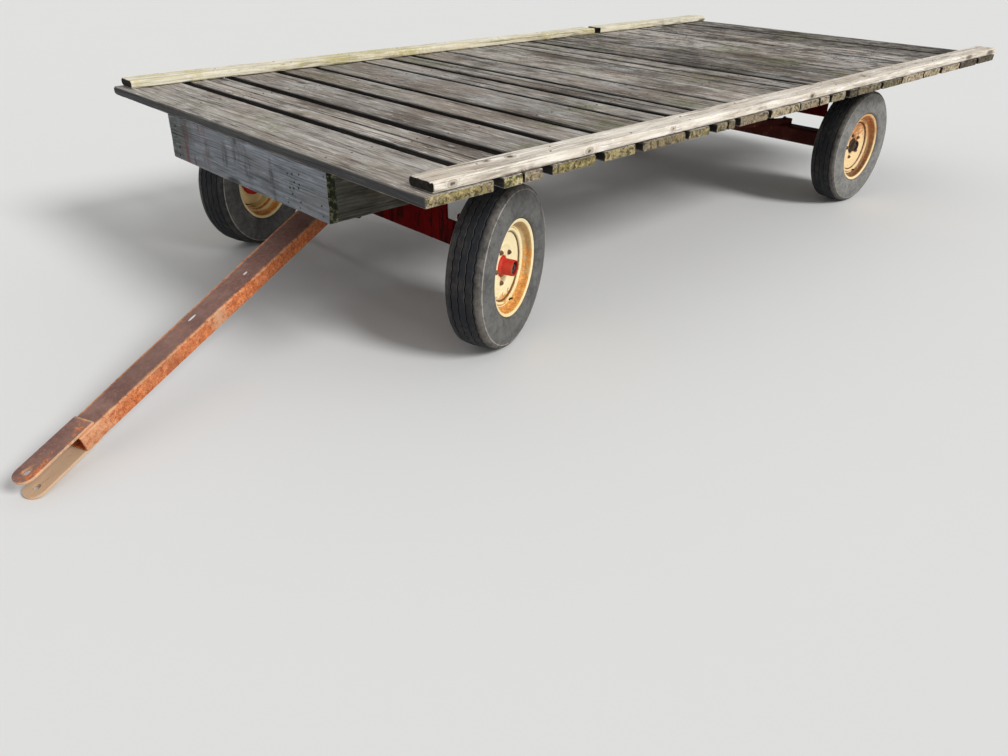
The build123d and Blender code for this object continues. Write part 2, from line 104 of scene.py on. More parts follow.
def ring_quads(rows: int, count: int, closed: bool = True) -> Array:
    """The quads between rings of points, numbered ring by ring.

    Args:
        rows: Number of rings.
        count: Number of points in a ring.
        closed: The last ring joins the first.

    Returns:
        An (n, 4) array of point numbers.
    """
    row, column = np.meshgrid(np.arange(rows if closed else rows - 1), np.arange(count), indexing="ij")
    next_row, next_column = (row + 1) % rows, (column + 1) % count
    corners = ((row, column), (next_row, column), (next_row, next_column), (row, next_column))
    return np.stack([a * count + b for a, b in corners], -1).reshape(-1, 4)


def cap_quads(count: int) -> Array:
    """The quads across a ring whose second half runs back under its first half."""
    upper = np.arange(count // 2 - 1)
    return np.stack([upper, upper + 1, count - 2 - upper, count - 1 - upper], -1)


def tube_quads(rows: int, count: int) -> Array:
    """The quads between rings of points, with a cap across the first ring and the last."""
    near = cap_quads(count)
    return np.concatenate([ring_quads(rows, count, False), near, near[:, ::-1] + (rows - 1) * count])


def signed_volume(points: Array, quads: Array) -> float:
    """Six times the volume inside quads, by the sum of triple products of their triangles' corners."""
    first, second, third, fourth = (points[quads[:, k]] for k in range(4))
    return float(np.einsum("ij,ij->", first, np.cross(second, third) + np.cross(third, fourth)))


@dataclass
class Draft:
    """Closed surfaces gathered into one mesh, with a few numbers kept at each point."""

    points: list[Array] = field(default_factory=list)
    quads: list[Array] = field(default_factory=list)
    marks: dict[str, list[Array]] = field(default_factory=dict)
    count: int = 0
    sharp_angle: float = math.radians(38)

    def add(self, points: Array, quads: Array, **marks: Array | float) -> None:
        """Adds a closed surface, turned so that its faces point outwards.

        Args:
            points: An (n, 3) array of places.
            quads: An (m, 4) array of point numbers; a triangle repeats its last point.
            marks: Numbers for each point, or one for all, by attribute name; or one place for all.
        """
        if signed_volume(points - points.mean(0), quads) < 0:
            quads = quads[:, ::-1]
        self.points.append(points)
        self.quads.append(quads + self.count)
        for name in sorted(set(self.marks) | set(marks)):
            value = np.asarray(marks.get(name, 0.0), float)
            shape = (len(points), 3) if value.ndim == 2 else (len(points),)
            rows = self.marks.setdefault(name, [np.zeros((self.count, *shape[1:]))] if self.count else [])
            rows.append(np.broadcast_to(value, shape))
        self.count += len(points)

    def piece(self, name: str, body: str, material: Material, node: str = "") -> None:
        """Makes the mesh object, dresses it and lets it ride on a body.

        Args:
            name: The piece's name.
            body: The CAD body that it moves with.
            material: Its finish.
            node: The CAD node that it stands in for, if any.
        """
        points = np.concatenate(self.points).astype(np.float32)
        quads = np.concatenate(self.quads)
        is_triangle = quads[:, 2] == quads[:, 3]
        sizes = np.where(is_triangle, 3, 4)
        keep = np.ones(quads.shape, bool)
        keep[is_triangle, 3] = False
        starts = np.concatenate([[0], np.cumsum(sizes)[:-1]]).astype(np.int32)
        mesh = bpy.data.meshes.new(name)
        mesh.vertices.add(len(points))
        mesh.vertices.foreach_set("co", points.ravel())
        mesh.loops.add(int(sizes.sum()))
        mesh.loops.foreach_set("vertex_index", quads[keep].astype(np.int32))
        mesh.polygons.add(len(quads))
        mesh.polygons.foreach_set("loop_start", starts)
        mesh.polygons.foreach_set("use_smooth", np.ones(len(quads), bool))
        mesh.update(calc_edges=True)
        mesh.set_sharp_from_angle(angle=self.sharp_angle)
        for mark, rows in self.marks.items():
            values = np.concatenate(rows).astype(np.float32)
            kind, channel = ("FLOAT_VECTOR", "vector") if values.ndim == 2 else ("FLOAT", "value")
            mesh.attributes.new(mark, kind, "POINT").data.foreach_set(channel, values.ravel())
        mesh.materials.append(material)
        made = bpy.data.objects.new(name, mesh)
        bpy.context.scene.collection.objects.link(made)
        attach(made, body)
        if node:
            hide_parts(node)
        LOG.info("%s: %d triangles", name, int(sizes.sum()) - 2 * len(quads))


@dataclass(frozen=True)
class Axes:
    """A place and three unit directions to put a shape into."""

    origin: Array
    along: Array
    across: Array
    up: Array

    def place(self, along: Array, across: Array, up: Array) -> Array:
        """Points at origin + along * A + across * B + up * C, in an array whose last axis is the place."""
        along, across, up = (number[..., None] for number in np.broadcast_arrays(along, across, up))
        return self.origin + along * self.along + across * self.across + up * self.up


def pointing_up(place: Triple) -> Axes:
    """Axes whose along direction is up."""
    return Axes(np.array(place), Z_AXIS, X_AXIS, Y_AXIS)


def joint_named(name: str) -> dict[str, object]:
    """One of the frame's joints."""
    return next(joint for joint in frame["joints"] if joint["name"] == name)


def rounded_path(corners: list[Triple], steps: int = 5) -> Array:
    """A closed outline with each corner replaced by a quadratic curve.

    The curve from A to B round the corner C is (1-t)^2 A + 2t(1-t) C + t^2 B.

    Args:
        corners: The two coordinates of each corner in order, and how far its curve reaches along its
            two sides; 0 keeps the corner.
        steps: Points on each curve.

    Returns:
        An (n, 2) array of points.
    """
    table = np.array(corners, float)
    corner = table[:, :2]
    rows = []
    for number, reach in enumerate(table[:, 2]):
        here, before, after = corner[number], corner[number - 1], corner[(number + 1) % len(corner)]
        if reach <= 0:
            rows.append(here[None])
            continue
        start = here + (before - here) * min(reach / np.linalg.norm(before - here), 0.49)
        end = here + (after - here) * min(reach / np.linalg.norm(after - here), 0.49)
        t = np.linspace(0, 1, steps)[:, None]
        rows.append((1 - t) ** 2 * start + 2 * t * (1 - t) * here + t**2 * end)
    return np.concatenate(rows)


def curve_through(corners: tuple[Pair, ...], steps: int) -> Array:
    """An open curve through points, whose slope at each is half the chord between its neighbours.

    Between B and C, with A before and D after, it is
    (2B + (C - A) t + (2A - 5B + 4C - D) t^2 + (3B - A - 3C + D) t^3) / 2.

    Args:
        corners: The points in order.
        steps: Points from each one up to the next.

    Returns:
        An (n, 2) array that starts and ends on the first and last point.
    """
    p = np.array([corners[0], *corners, corners[-1]], float)
    a, b, c, d = (p[k : len(p) - 3 + k, None] for k in range(4))
    t = np.linspace(0, 1, steps, endpoint=False)[None, :, None]
    curve = (2 * b + (c - a) * t + (2 * a - 5 * b + 4 * c - d) * t**2 + (3 * b - a - 3 * c + d) * t**3) / 2
    return np.concatenate([curve.reshape(-1, 2), p[-1:]])


def lathe(draft: Draft, axes: Axes, outline: Array, steps: int, **marks: Array) -> None:
    """Turns a closed outline about the along axis: P = O + x A + r (cos t B + sin t C).

    Args:
        draft: Where the surface goes.
        axes: Its along direction is the turning axis.
        outline: An (n, 2) array of place along the axis and radius, or one such array for each step.
        steps: Steps round the axis.
        marks: Numbers for each point of the outline, or for each step and point.
    """
    angle = np.linspace(0, 2 * np.pi, steps, endpoint=False)[:, None]
    place, radius = outline[..., 0], outline[..., 1]
    points = axes.place(place, radius * np.cos(angle), radius * np.sin(angle))
    spread = {name: np.broadcast_to(mark, points.shape[:2]).ravel() for name, mark in marks.items()}
    draft.add(points.reshape(-1, 3), ring_quads(*points.shape[:2]), **spread)


def stud(
    draft: Draft, axes: Axes, rows: list[Pair], sides: int = 12, hexagon: bool = False, **marks: float
) -> None:
    """A small turned or six-sided solid: rings of radius r at place x, closed by points on the axis.

    A six-sided ring has the radius r cos(30) / cos(a), where a is the angle from the nearest flat's middle.

    Args:
        draft: Where the surface goes.
        axes: Its along direction is the solid's axis.
        rows: Place along the axis and radius of each ring, from the bottom up.
        sides: Points on a round ring.
        hexagon: Makes the rings six-sided.
        marks: One number for all points, by attribute name.
    """
    steps = 24 if hexagon else sides
    angle = np.linspace(0, 2 * np.pi, steps, endpoint=False)
    shape = np.ones(steps)
    if hexagon:
        shape = math.cos(math.pi / 6) / np.cos((angle + math.pi / 6) % (math.pi / 3) - math.pi / 6)
    table = np.array([(rows[0][0], 0.0), *rows, (rows[-1][0], 0.0)])
    place, radius = table[:, :1], table[:, 1:] * shape
    points = axes.place(place, radius * np.cos(angle), radius * np.sin(angle))
    draft.add(points.reshape(-1, 3), ring_quads(len(table), steps, False), **marks)


# Finishes


def toned(colour: Colour, factor: float, offset: float = 0.0) -> Colour:
    """A colour times a factor plus an offset, held at 1."""
    return tuple(min(1.0, factor * c + offset) for c in colour)


class Graph:
    """Short ways to add nodes to one material's tree."""

    def __init__(self, name: str) -> None:
        """Makes an empty material with a Principled surface."""
        self.material = bpy.data.materials.new(name)
        self.material.use_nodes = True
        self.tree = self.material.node_tree
        self.shader = next(n for n in self.tree.nodes if n.type == "BSDF_PRINCIPLED")
        self.place = self.add("ShaderNodeTexCoord").outputs["Object"]

    def add(self, kind: str, **settings: object) -> bpy.types.Node:
        """Adds a node and sets its properties."""
        node = self.tree.nodes.new(kind)
        for name, value in settings.items():
            setattr(node, name, value)
        return node

    def feed(self, socket: Socket, value: object) -> None:
        """Links an output to a socket, or sets the socket's own value."""
        if isinstance(value, Socket):
            self.tree.links.new(value, socket)
        elif isinstance(value, tuple) and len(value) == 3 and socket.type == "RGBA":
            socket.default_value = (*value, 1.0)
        else:
            socket.default_value = value

    def mark(self, name: str) -> Socket:
        """The number kept at each point under that name."""
        return self.add("ShaderNodeAttribute", attribute_name=name).outputs["Fac"]

    def stretched(self, scale: Triple, shift: Socket | None = None) -> Socket:
        """Object coordinates times a scale, with a number added to all three where given."""
        node = self.add("ShaderNodeMapping")
        self.feed(node.inputs["Vector"], self.place)
        node.inputs["Scale"].default_value = scale
        if shift is None:
            return node.outputs["Vector"]
        moved = self.add("ShaderNodeVectorMath", operation="ADD")
        self.feed(moved.inputs[0], node.outputs["Vector"])
        self.feed(moved.inputs[1], shift)
        return moved.outputs["Vector"]

    def noise(self, vector: Socket, scale: float, detail: float, rough: float, twist: float = 0.0) -> Socket:
        """Fractal noise from 0 to 1 about a half."""
        node = self.add("ShaderNodeTexNoise")
        self.feed(node.inputs["Vector"], vector)
        settings = {"Scale": scale, "Detail": detail, "Roughness": rough, "Distortion": twist}
        for name, value in settings.items():
            node.inputs[name].default_value = value
        return node.outputs["Fac"]

    def cells(self, vector: Socket, scale: float, feature: str = "F1") -> Socket:
        """Distance to scattered points, in cells."""
        node = self.add("ShaderNodeTexVoronoi", feature=feature)
        self.feed(node.inputs["Vector"], vector)
        node.inputs["Scale"].default_value = scale
        return node.outputs["Distance"]

    def math(self, operation: str, first: object, second: object = 0.0, third: object = 0.0) -> Socket:
        """One arithmetic step."""
        node = self.add("ShaderNodeMath", operation=operation)
        for socket, value in zip(node.inputs, (first, second, third)):
            self.feed(socket, value)
        return node.outputs[0]

    def times(self, first: object, second: object) -> Socket:
        """A product."""
        return self.math("MULTIPLY", first, second)

    def plus(self, first: object, second: object) -> Socket:
        """A sum."""
        return self.math("ADD", first, second)

    def ramp(self, value: object, slope: object, start: object) -> Socket:
        """A number times a slope, plus a start."""
        return self.math("MULTIPLY_ADD", value, slope, start)

    def weigh(self, *parts: tuple[object, float]) -> Socket:
        """The sum of numbers, each times its weight."""
        total = self.times(*parts[0])
        for value, weight in parts[1:]:
            total = self.ramp(value, weight, total)
        return total

    def span(self, value: object, low: float, high: float, start: float = 0.0, end: float = 1.0) -> Socket:
        """A number brought from one range to another by the smooth step, and held at the ends."""
        node = self.add("ShaderNodeMapRange", interpolation_type="SMOOTHSTEP")
        names = ("Value", "From Min", "From Max", "To Min", "To Max")
        for name, number in zip(names, (value, low, high, start, end)):
            self.feed(node.inputs[name], number)
        return node.outputs["Result"]

    def blend(self, share: object, first: object, second: object) -> Socket:
        """Two colours mixed by a share."""
        node = self.add("ShaderNodeMix", data_type="RGBA")
        self.feed(node.inputs[0], share)
        self.feed(node.inputs[6], first)
        self.feed(node.inputs[7], second)
        return node.outputs[2]

    def coats(self, colour: object, *coats: Coat) -> Socket:
        """A colour with others laid over it in turn, each by the product of the shares that follow it."""
        for over, share, *factors in coats:
            for factor in factors:
                share = self.times(share, factor)
            colour = self.blend(share, colour, over)
        return colour

    def relief(self, height: Socket, depth: float, normal: Socket | None = None) -> Socket:
        """A bump whose heights from 0 to 1 stand for that depth in metres."""
        node = self.add("ShaderNodeBump")
        node.inputs["Strength"].default_value = 1.0
        node.inputs["Distance"].default_value = depth
        self.feed(node.inputs["Height"], height)
        if normal is not None:
            self.feed(node.inputs["Normal"], normal)
        return node.outputs["Normal"]

    def finish(
        self, colour: Socket, roughness: object, normal: Socket | None = None, shine: float = 0.2
    ) -> Material:
        """Feeds the surface, sets its level of reflection and returns the material."""
        self.feed(self.shader.inputs["Base Color"], colour)
        self.feed(self.shader.inputs["Roughness"], roughness)
        self.shader.inputs["Specular IOR Level"].default_value = shine
        if normal is not None:
            self.feed(self.shader.inputs["Normal"], normal)
        return self.material


class Grain(Enum):
    """The axis that a board's grain runs along."""

    ALONG_WAGON = 0
    ACROSS_WAGON = 1

    def scaled(self, along: float, across: float) -> tuple[float, ...]:
        """Coordinate scales with one number along the grain and another across it."""
        return tuple(along if axis == self.value else across for axis in range(3))


@dataclass(frozen=True)
class WoodNoise:
    """The noises that a board's colours are drawn from, shifted from board to board."""

    shift: Socket
    rings: Socket
    streaks: Socket
    mottle: Socket
    patches: Socket
    clouds: Socket
    spots: Socket
    grain: Socket
    lines: Socket
    cracks: Socket


@dataclass(frozen=True)
class WeatheredWood:
    """Bare old wood, cut from a log whose growth rings lie round a pith line near each board.

    The distance from the pith, bent by noise, gives rings on the ends and faint arched lines on the faces.
    """

    name: str
    grain: Grain
    pale: Colour
    middle: Colour
    dark: Colour
    brown: Colour
    end_colour: Colour
    end_plain: Colour
    moss: Colour = (0.125, 0.135, 0.040)
    moss_share: float = 0.3
    # How strongly the sides and undersides of boards are darkened by the side mark: painted shade.
    painted_side_shade: float = 0.0
    # The bluish dark of that painted shade.
    shaded: Colour = (0.040, 0.044, 0.051)
    damp: Colour = (0.072, 0.050, 0.036)
    bleached: Colour = (0.50, 0.49, 0.47)
    stain: Colour = (0.150, 0.045, 0.040)
    end_ring: Colour = (0.020, 0.017, 0.010)
    end_blot: Colour = (0.012, 0.011, 0.008)
    end_light: Colour = (1.0, 0.92, 0.55)
    edge_share: float = 0.75
    end_fleck: float = 0.30
    hair_share: float = 0.45
    ring_width: float = 0.0055
    line_share: float = 0.2
    contrast: float = 1.0
    furrow_depth: float = 0.0026
    spot_depth: float = 0.0009
    shine: float = 0.12

    @property
    def strength(self) -> float:
        """How strongly furrows and flecks show."""
        return min(0.9, 0.7 * self.contrast)

    def fibres(
        self, g: Graph, shift: Socket, along: float, across: float, detail: float, rough: float,
        twist: float = 0.0,
    ) -> Socket:
        """Noise drawn out along the grain.

        Args:
            g: The material's tree.
            shift: A number that moves the noise.
            along: Coordinate scale along the grain.
            across: Coordinate scale across it.
            detail: Number of finer layers.
            rough: How strong they are.
            twist: How far the noise bends itself.

        Returns:
            Numbers from 0 to 1 about a half.
        """
        return g.noise(g.stretched(self.grain.scaled(along, across), shift), 1.0, detail, rough, twist)

    def rings(self, g: Graph) -> Socket:
        """How far into its growth ring each place is, from 0 to 1 and back."""
        cross = g.stretched(self.grain.scaled(0.0, 1.0))
        gap = g.add("ShaderNodeVectorMath", operation="DISTANCE")
        g.feed(gap.inputs[0], cross)
        g.feed(gap.inputs[1], g.add("ShaderNodeAttribute", attribute_name="pith").outputs["Vector"])
        shift = g.times(g.mark("board"), 53.0)
        slow = self.fibres(g, shift, 0.9, 5.0, 3.0, 0.5)
        quick = self.fibres(g, shift, 6.0, 60.0, 4.0, 0.65)
        bent = g.weigh((slow, 0.060), (quick, 0.012), (g.mark("knot"), 0.030))
        return g.math("PINGPONG", g.math("DIVIDE", g.plus(gap.outputs["Value"], bent), self.ring_width), 1.0)

    def noises(self, g: Graph) -> WoodNoise:
        """Adds the noises to the material's tree."""
        shift = g.times(g.mark("board"), 37.0)
        rings = self.rings(g)
        streaks = self.fibres(g, shift, 1.0, 34.0, 6.0, 0.66, 0.4)
        fine = self.fibres(g, shift, 7.0, 230.0, 4.0, 0.68, 0.2)
        mottle = self.fibres(g, shift, 7.0, 75.0, 6.0, 0.74, 0.3)
        return WoodNoise(
            shift=shift,
            rings=rings,
            streaks=streaks,
            mottle=mottle,
            patches=self.fibres(g, shift, 1.7, 5.0, 6.0, 0.66),
            clouds=g.weigh((self.fibres(g, shift, 1.8, 8.0, 6.0, 0.72), 0.66), (mottle, 0.34)),
            spots=g.noise(g.stretched((1.0, 1.0, 1.0), shift), 52.0, 4.0, 0.72),
            grain=g.weigh((streaks, 0.36), (fine, 0.24), (mottle, 0.34), (g.span(rings, 0.15, 0.95), 0.06)),
            lines=g.times(g.span(rings, 0.30, 0.02), g.span(mottle, 0.40, 0.62)),
            cracks=g.span(self.fibres(g, shift, 1.3, 95.0, 2.0, 0.5, 0.6), 0.315, 0.265),
        )

    def bare(self, g: Graph, n: WoodNoise) -> Socket:
        """The colour of the wood itself: its grain, brown patches, aged clouds and dark furrows."""
        reach = 0.095 / self.contrast
        age = g.ramp(g.mark("age"), 0.55, 0.46 * self.contrast)
        aged = g.ramp(g.mark("age"), -0.035, n.clouds)
        return g.coats(
            self.middle,
            (self.pale, g.span(n.grain, 0.505 - reach, 0.505 + reach)),
            (self.brown, g.span(n.patches, 0.44, 0.62), 0.62),
            (self.dark, g.span(aged, 0.475, 0.38), age),
            (self.dark, g.span(n.grain, 0.455, 0.385), self.strength),
        )

    def weather(self, g: Graph, n: WoodNoise) -> list[Coat]:
        """Coats of damp and bleached places, ring lines, pale flecks, hair lines and cracks."""
        broken = g.span(g.weigh((n.clouds, 1.0), (n.spots, 0.5)), 0.62, 0.84)
        dry = g.span(g.plus(n.mottle, n.spots), 0.88, 1.06, 0.2, 1.0)
        hairs = g.span(self.fibres(g, n.shift, 2.4, 260.0, 3.0, 0.6, 0.3), 0.46, 0.38)
        flecks = g.times(g.span(n.mottle, 0.55, 0.64), g.span(n.clouds, 0.47, 0.56))
        return [
            (self.damp, g.mark("damp"), g.ramp(broken, 0.45, 0.50)),
            (self.bleached, g.mark("bleach"), dry),
            (toned(self.dark, 0.8), n.lines, self.line_share),
            (toned(self.pale, 1.45), flecks, self.strength),
            (self.dark, hairs, g.span(n.streaks, 0.58, 0.44, 0.25, 1.0), self.hair_share),
            (toned(self.dark, 0.25), n.cracks),
        ]

    def knots(self, g: Graph, n: WoodNoise) -> list[Coat]:
        """Coats of small scattered knots and of the placed ones, with a dark ring and core."""
        small = g.cells(g.stretched(self.grain.scaled(1.5, 5.2), n.shift), 1.0)
        knot = g.times(g.mark("knot"), g.plus(g.weigh((n.spots, 0.45), (n.mottle, 0.45)), 0.55))
        ring = g.span(g.math("ABSOLUTE", g.plus(knot, -0.42)), 0.09, 0.02)
        core = g.math("MAXIMUM", g.times(ring, 0.35), g.span(knot, 0.55, 0.80, 0.0, 0.95))
        return [
            (toned(self.dark, 0.7), g.span(small, 0.12, 0.05), 0.85),
            (g.blend(0.5, self.dark, self.brown), g.span(knot, 0.12, 0.60, 0.0, 0.55)),
            (toned(self.dark, 0.5), core),
        ]

    def stains(self, g: Graph, n: WoodNoise) -> list[Coat]:
        """Coats of smears, old crust, the red stain's drips, rubbed edges and moss."""
        wisps = g.weigh((g.noise(g.stretched((1.0, 27.0, 13.0)), 1.0, 6.0, 0.74, 0.9), 1.0), (n.spots, 0.3))
        crust = self.fibres(g, n.shift, 7.0, 17.0, 7.0, 0.80)
        drips = g.weigh((g.noise(g.stretched((1.0, 34.0, 7.0)), 1.0, 4.0, 0.66), 1.0), (n.mottle, 0.5))
        blots = g.span(g.noise(g.stretched((1.0, 9.0, 6.0)), 1.0, 3.0, 0.6), 0.42, 0.56, 0.2, 1.0)
        ease = 0.25 * self.moss_share
        growth = g.span(g.noise(g.place, 2.0, 6.0, 0.72), 0.64 - ease, 0.82 - ease)
        growth = g.times(growth, g.span(n.spots, 0.34, 0.60, 0.1, 0.9))
        placed = g.times(g.mark("moss"), g.span(g.plus(n.spots, n.mottle), 0.86, 1.12))
        return [
            (toned(self.dark, 0.8), g.span(wisps, 0.52, 0.84), g.span(g.mark("smear"), 0.02, 0.75), 0.78),
            (self.dark, g.span(crust, 0.495, 0.42), g.mark("age"), 0.92),
            (self.bleached, g.span(crust, 0.57, 0.66), g.mark("age"), 0.78),
            (self.stain, g.span(drips, 0.68, 0.90), blots, g.mark("stain"), 0.75),
            (toned(self.pale, 1.2), g.mark("edge"), g.span(n.spots, 0.38, 0.62, 0.05, self.edge_share)),
            (self.moss, g.math("MAXIMUM", growth, placed), 0.80),
        ]

    def end_grain(self, g: Graph, n: WoodNoise) -> Socket:
        """The colour of a sawn end: rings, dark blotches, pale flecks and moss."""
        blots, broad = g.noise(g.place, 42.0, 6.0, 0.78), g.noise(g.place, 15.0, 5.0, 0.7)
        olive = (self.end_colour, g.mark("olive"), g.span(broad, 0.60, 0.42, 0.15, 1.0))
        tint = g.coats(self.end_plain, olive)
        moss = g.blend(g.span(n.spots, 0.42, 0.60), toned(self.moss, 0.35), toned(self.moss, 1.3))
        return g.coats(
            g.blend(0.24, tint, self.end_ring),
            (tint, g.span(n.rings, 0.1, 0.8)),
            (g.blend(0.86, tint, self.end_blot), g.span(blots, 0.485, 0.57)),
            (g.blend(self.end_fleck, tint, self.end_light), g.span(n.spots, 0.53, 0.62), 0.45),
            (moss, g.mark("moss"), g.span(g.plus(blots, n.spots), 1.08, 0.94)),
        )

    def build(self) -> Material:
        """Makes the material."""
        g = Graph(self.name)
        n = self.noises(g)
        # Painted shade on the boards' sides and undersides: bluish dark where the side mark is full, the wood's
        # darkest tone elsewhere.
        side = g.blend(g.span(g.mark("side"), 0.94, 1.0), self.shaded, toned(self.dark, 0.25))
        faces = (side, g.mark("side"), self.painted_side_shade), (self.end_grain(g, n), g.mark("end"))
        layers = *self.weather(g, n), *self.knots(g, n), *self.stains(g, n), *faces
        shade = g.add("ShaderNodeHueSaturation")
        g.feed(shade.inputs["Color"], g.coats(self.bare(g, n), *layers))
        swing = g.ramp(g.mark("end"), 0.30, 0.30)
        g.feed(shade.inputs["Value"], g.ramp(g.mark("tone"), swing, g.ramp(g.mark("age"), -0.06, 1.0)))
        height = g.weigh((n.grain, 1.0), (n.cracks, -1.0), (n.lines, -0.15))
        normal = g.relief(n.spots, self.spot_depth, g.relief(height, self.furrow_depth))
        return g.finish(shade.outputs["Color"], g.span(n.grain, 0.3, 0.7, 0.95, 0.85), normal, self.shine)


@dataclass(frozen=True)
class AgedPaint:
    """Old paint on steel: faded patches, rust that spreads from edges and chips, grime, and painted shade on the
    rims' seats.
    """

    name: str
    paint: Colour
    faded: Colour
    rust: Colour = (0.25, 0.085, 0.025)
    dark_rust: Colour = (0.085, 0.033, 0.018)
    rust_share: float = 0.3
    # Brown painted shade on the rims' seats, under their lips.
    dirt: Colour = (0.33, 0.20, 0.085)
    worn: Colour = (0.36, 0.17, 0.08)
    worn_share: float = 0.5
    # Near-black: the valve's rubber stem, and painted shade in the disc's gap and in the hub's sunk end with its
    # nut.
    bare: Colour = (0.022, 0.020, 0.018)
    grime: float = 0.5
    drips: float = 0.0
    grit: float = 0.0
    chalk: Colour = (0.66, 0.60, 0.54)
    drop: Colour = (0.66, 0.65, 0.62)
    gloss: float = 0.5
    rust_gloss: float = 0.88
    shine: float = 0.25
    glow: tuple[float, float, float] = (1.45, 1.95, 2.6)

    def rust_colour(self, g: Graph, flecks: Socket, pores: Socket) -> Socket:
        """Dark and red-brown rust with lit orange crumbs."""
        crumbs = g.weigh((g.noise(g.place, 38.0, 6.0, 0.74), 1.0), (pores, 0.45))
        return g.coats(
            self.dark_rust,
            (self.rust, g.span(g.weigh((flecks, 0.4), (pores, 0.6)), 0.38, 0.58)),
            (tuple(min(1.0, s * c) for s, c in zip(self.glow, self.rust)), g.span(crumbs, 0.70, 0.90), 0.65),
        )

    def runs(self, g: Graph, flecks: Socket, slow: Socket) -> list[Coat]:
        """A coat of dark runs down the sides, where there are any."""
        if not self.drips:
            return []
        streaks = g.noise(g.stretched((36.0, 36.0, 5.0)), 1.0, 6.0, 0.74, 0.3)
        drawn = g.span(g.weigh((streaks, 1.0), (flecks, 0.22), (slow, 0.45)), 0.80, 0.90)
        return [(toned(self.paint, 0.10, 0.003), drawn, self.drips)]

    def build(self) -> Material:
        """Makes the material."""
        g = Graph(self.name)
        cloud, flecks = g.noise(g.place, 7.0, 6.0, 0.62), g.noise(g.place, 60.0, 5.0, 0.68)
        pores, slow = g.noise(g.place, 250.0, 4.0, 0.7), g.noise(g.place, 3.3, 5.0, 0.6)
        both = g.plus(cloud, flecks)
        wear = g.weigh((cloud, 0.5), (flecks, 0.5), (g.mark("rust"), 0.3))
        threshold = 0.66 - 0.26 * self.rust_share
        rusted = g.span(wear, threshold, threshold + 0.06)
        gritty = g.span(g.weigh((flecks, 0.7), (pores, 1.3)), 1.00, 1.16)
        colour = g.coats(
            self.paint,
            (self.faded, g.span(g.ramp(g.mark("fade"), 0.30, cloud), 0.38, 0.66)),
            (toned(self.faded, 1.35), gritty, self.grit),
            (toned(self.paint, 0.6), g.span(pores, 0.45, 0.7), 0.25),
            # Painted shade on the rims' seats, broken by noise.
            (self.dirt, g.mark("dirt"), g.span(both, 0.80, 1.10, 0.80, 1.0)),
            (self.rust_colour(g, flecks, pores), rusted),
            # Worn edges; on the tongue the pale worn colour is also a painted highlight.
            (self.worn, g.mark("edge"), g.span(both, 0.78, 1.12), self.worn_share),
            (toned(self.paint, 0.22, 0.006), g.span(slow, 0.50, 0.66), self.grime),
            *self.runs(g, flecks, slow),
            (self.chalk, g.mark("pale"), g.span(g.plus(flecks, g.mark("pale")), 0.70, 1.05)),
            # Near-black: the valve stem's own colour, and painted shade where the bare mark lies in a gap or
            # recess.
            (self.bare, g.mark("bare")),
            (self.drop, g.mark("drop")),
        )
        normal = g.relief(flecks, 0.0004, g.relief(g.times(rusted, g.plus(pores, -1.4)), 0.0007))
        roughness = g.blend(rusted, (self.gloss,) * 3, (self.rust_gloss,) * 3)
        return g.finish(colour, roughness, normal, self.shine)


@dataclass(frozen=True)
class DustyRubber:
    """Old tyre rubber: grey bloom on the walls, brown dust on the tread and fine cracks; the tread's dark bluish
    base and the grooves' near-black are painted shade.
    """

    name: str
    rubber: Colour = (0.075, 0.074, 0.073)
    bloom: Colour = (0.150, 0.148, 0.140)
    # The tread's dark bluish base: painted shade.
    tread: Colour = (0.017, 0.019, 0.023)
    dust: Colour = (0.130, 0.110, 0.092)
    rubbed: Colour = (0.46, 0.43, 0.38)
    # Near-black of the grooves: painted shade.
    deep: Colour = (0.005, 0.005, 0.006)
    crack: Colour = (0.02, 0.02, 0.022)

    def build(self) -> Material:
        """Makes the material."""
        g = Graph(self.name)
        cloud, specks = g.noise(g.place, 9.0, 5.0, 0.6), g.noise(g.place, 150.0, 4.0, 0.7)
        blots = g.noise(g.place, 38.0, 5.0, 0.7)
        mix = g.weigh((cloud, 0.5), (blots, 0.5))
        cracks = g.span(g.cells(g.place, 110.0, "DISTANCE_TO_EDGE"), 0.05, 0.0)
        colour = g.coats(
            self.rubber,
            (self.bloom, g.span(mix, 0.36, 0.62)),
            (self.rubbed, g.span(specks, 0.56, 0.70), 0.22),
            # The tread's base: painted shade.
            (self.tread, g.mark("tread")),
            (self.dust, g.mark("tread"), g.span(mix, 0.44, 0.68, 0.0, 0.30)),
            (g.blend(0.3, self.dust, self.rubbed), g.mark("shoulder"), g.span(mix, 0.34, 0.62, 0.1, 0.6)),
            (self.rubbed, g.mark("edge"), g.span(blots, 0.30, 0.56, 0.30, 0.95)),
            # Painted shade in the grooves.
            (self.deep, g.mark("groove"), 0.92),
            (self.crack, cracks, 0.3),
        )
        height = g.weigh((specks, 1.0), (cracks, -0.4))
        return g.finish(colour, g.span(cloud, 0.3, 0.7, 0.72, 0.9), g.relief(height, 0.0005))


@dataclass(frozen=True)
class NailRust:
    """Small rusted heads and holes, darker than the wood round them."""

    name: str
    colour: Colour = (0.055, 0.034, 0.024)

    def build(self) -> Material:
        """Makes the material."""
        g = Graph(self.name)
        specks = g.noise(g.place, 420.0, 3.0, 0.6)
        colour = g.blend(g.span(specks, 0.4, 0.65), self.colour, toned(self.colour, 2.4))
        return g.finish(colour, 0.8, g.relief(specks, 0.0003))


# Boards


@dataclass(frozen=True)
class Section:
    """The upper half of a board's section, from its low side up and over to its high side."""

    across: Array
    height: Array
    edge: Array
    # How much painted shade each point takes, on the flanks and round the corners.
    side: Array
    crack: Array
    flank: Array


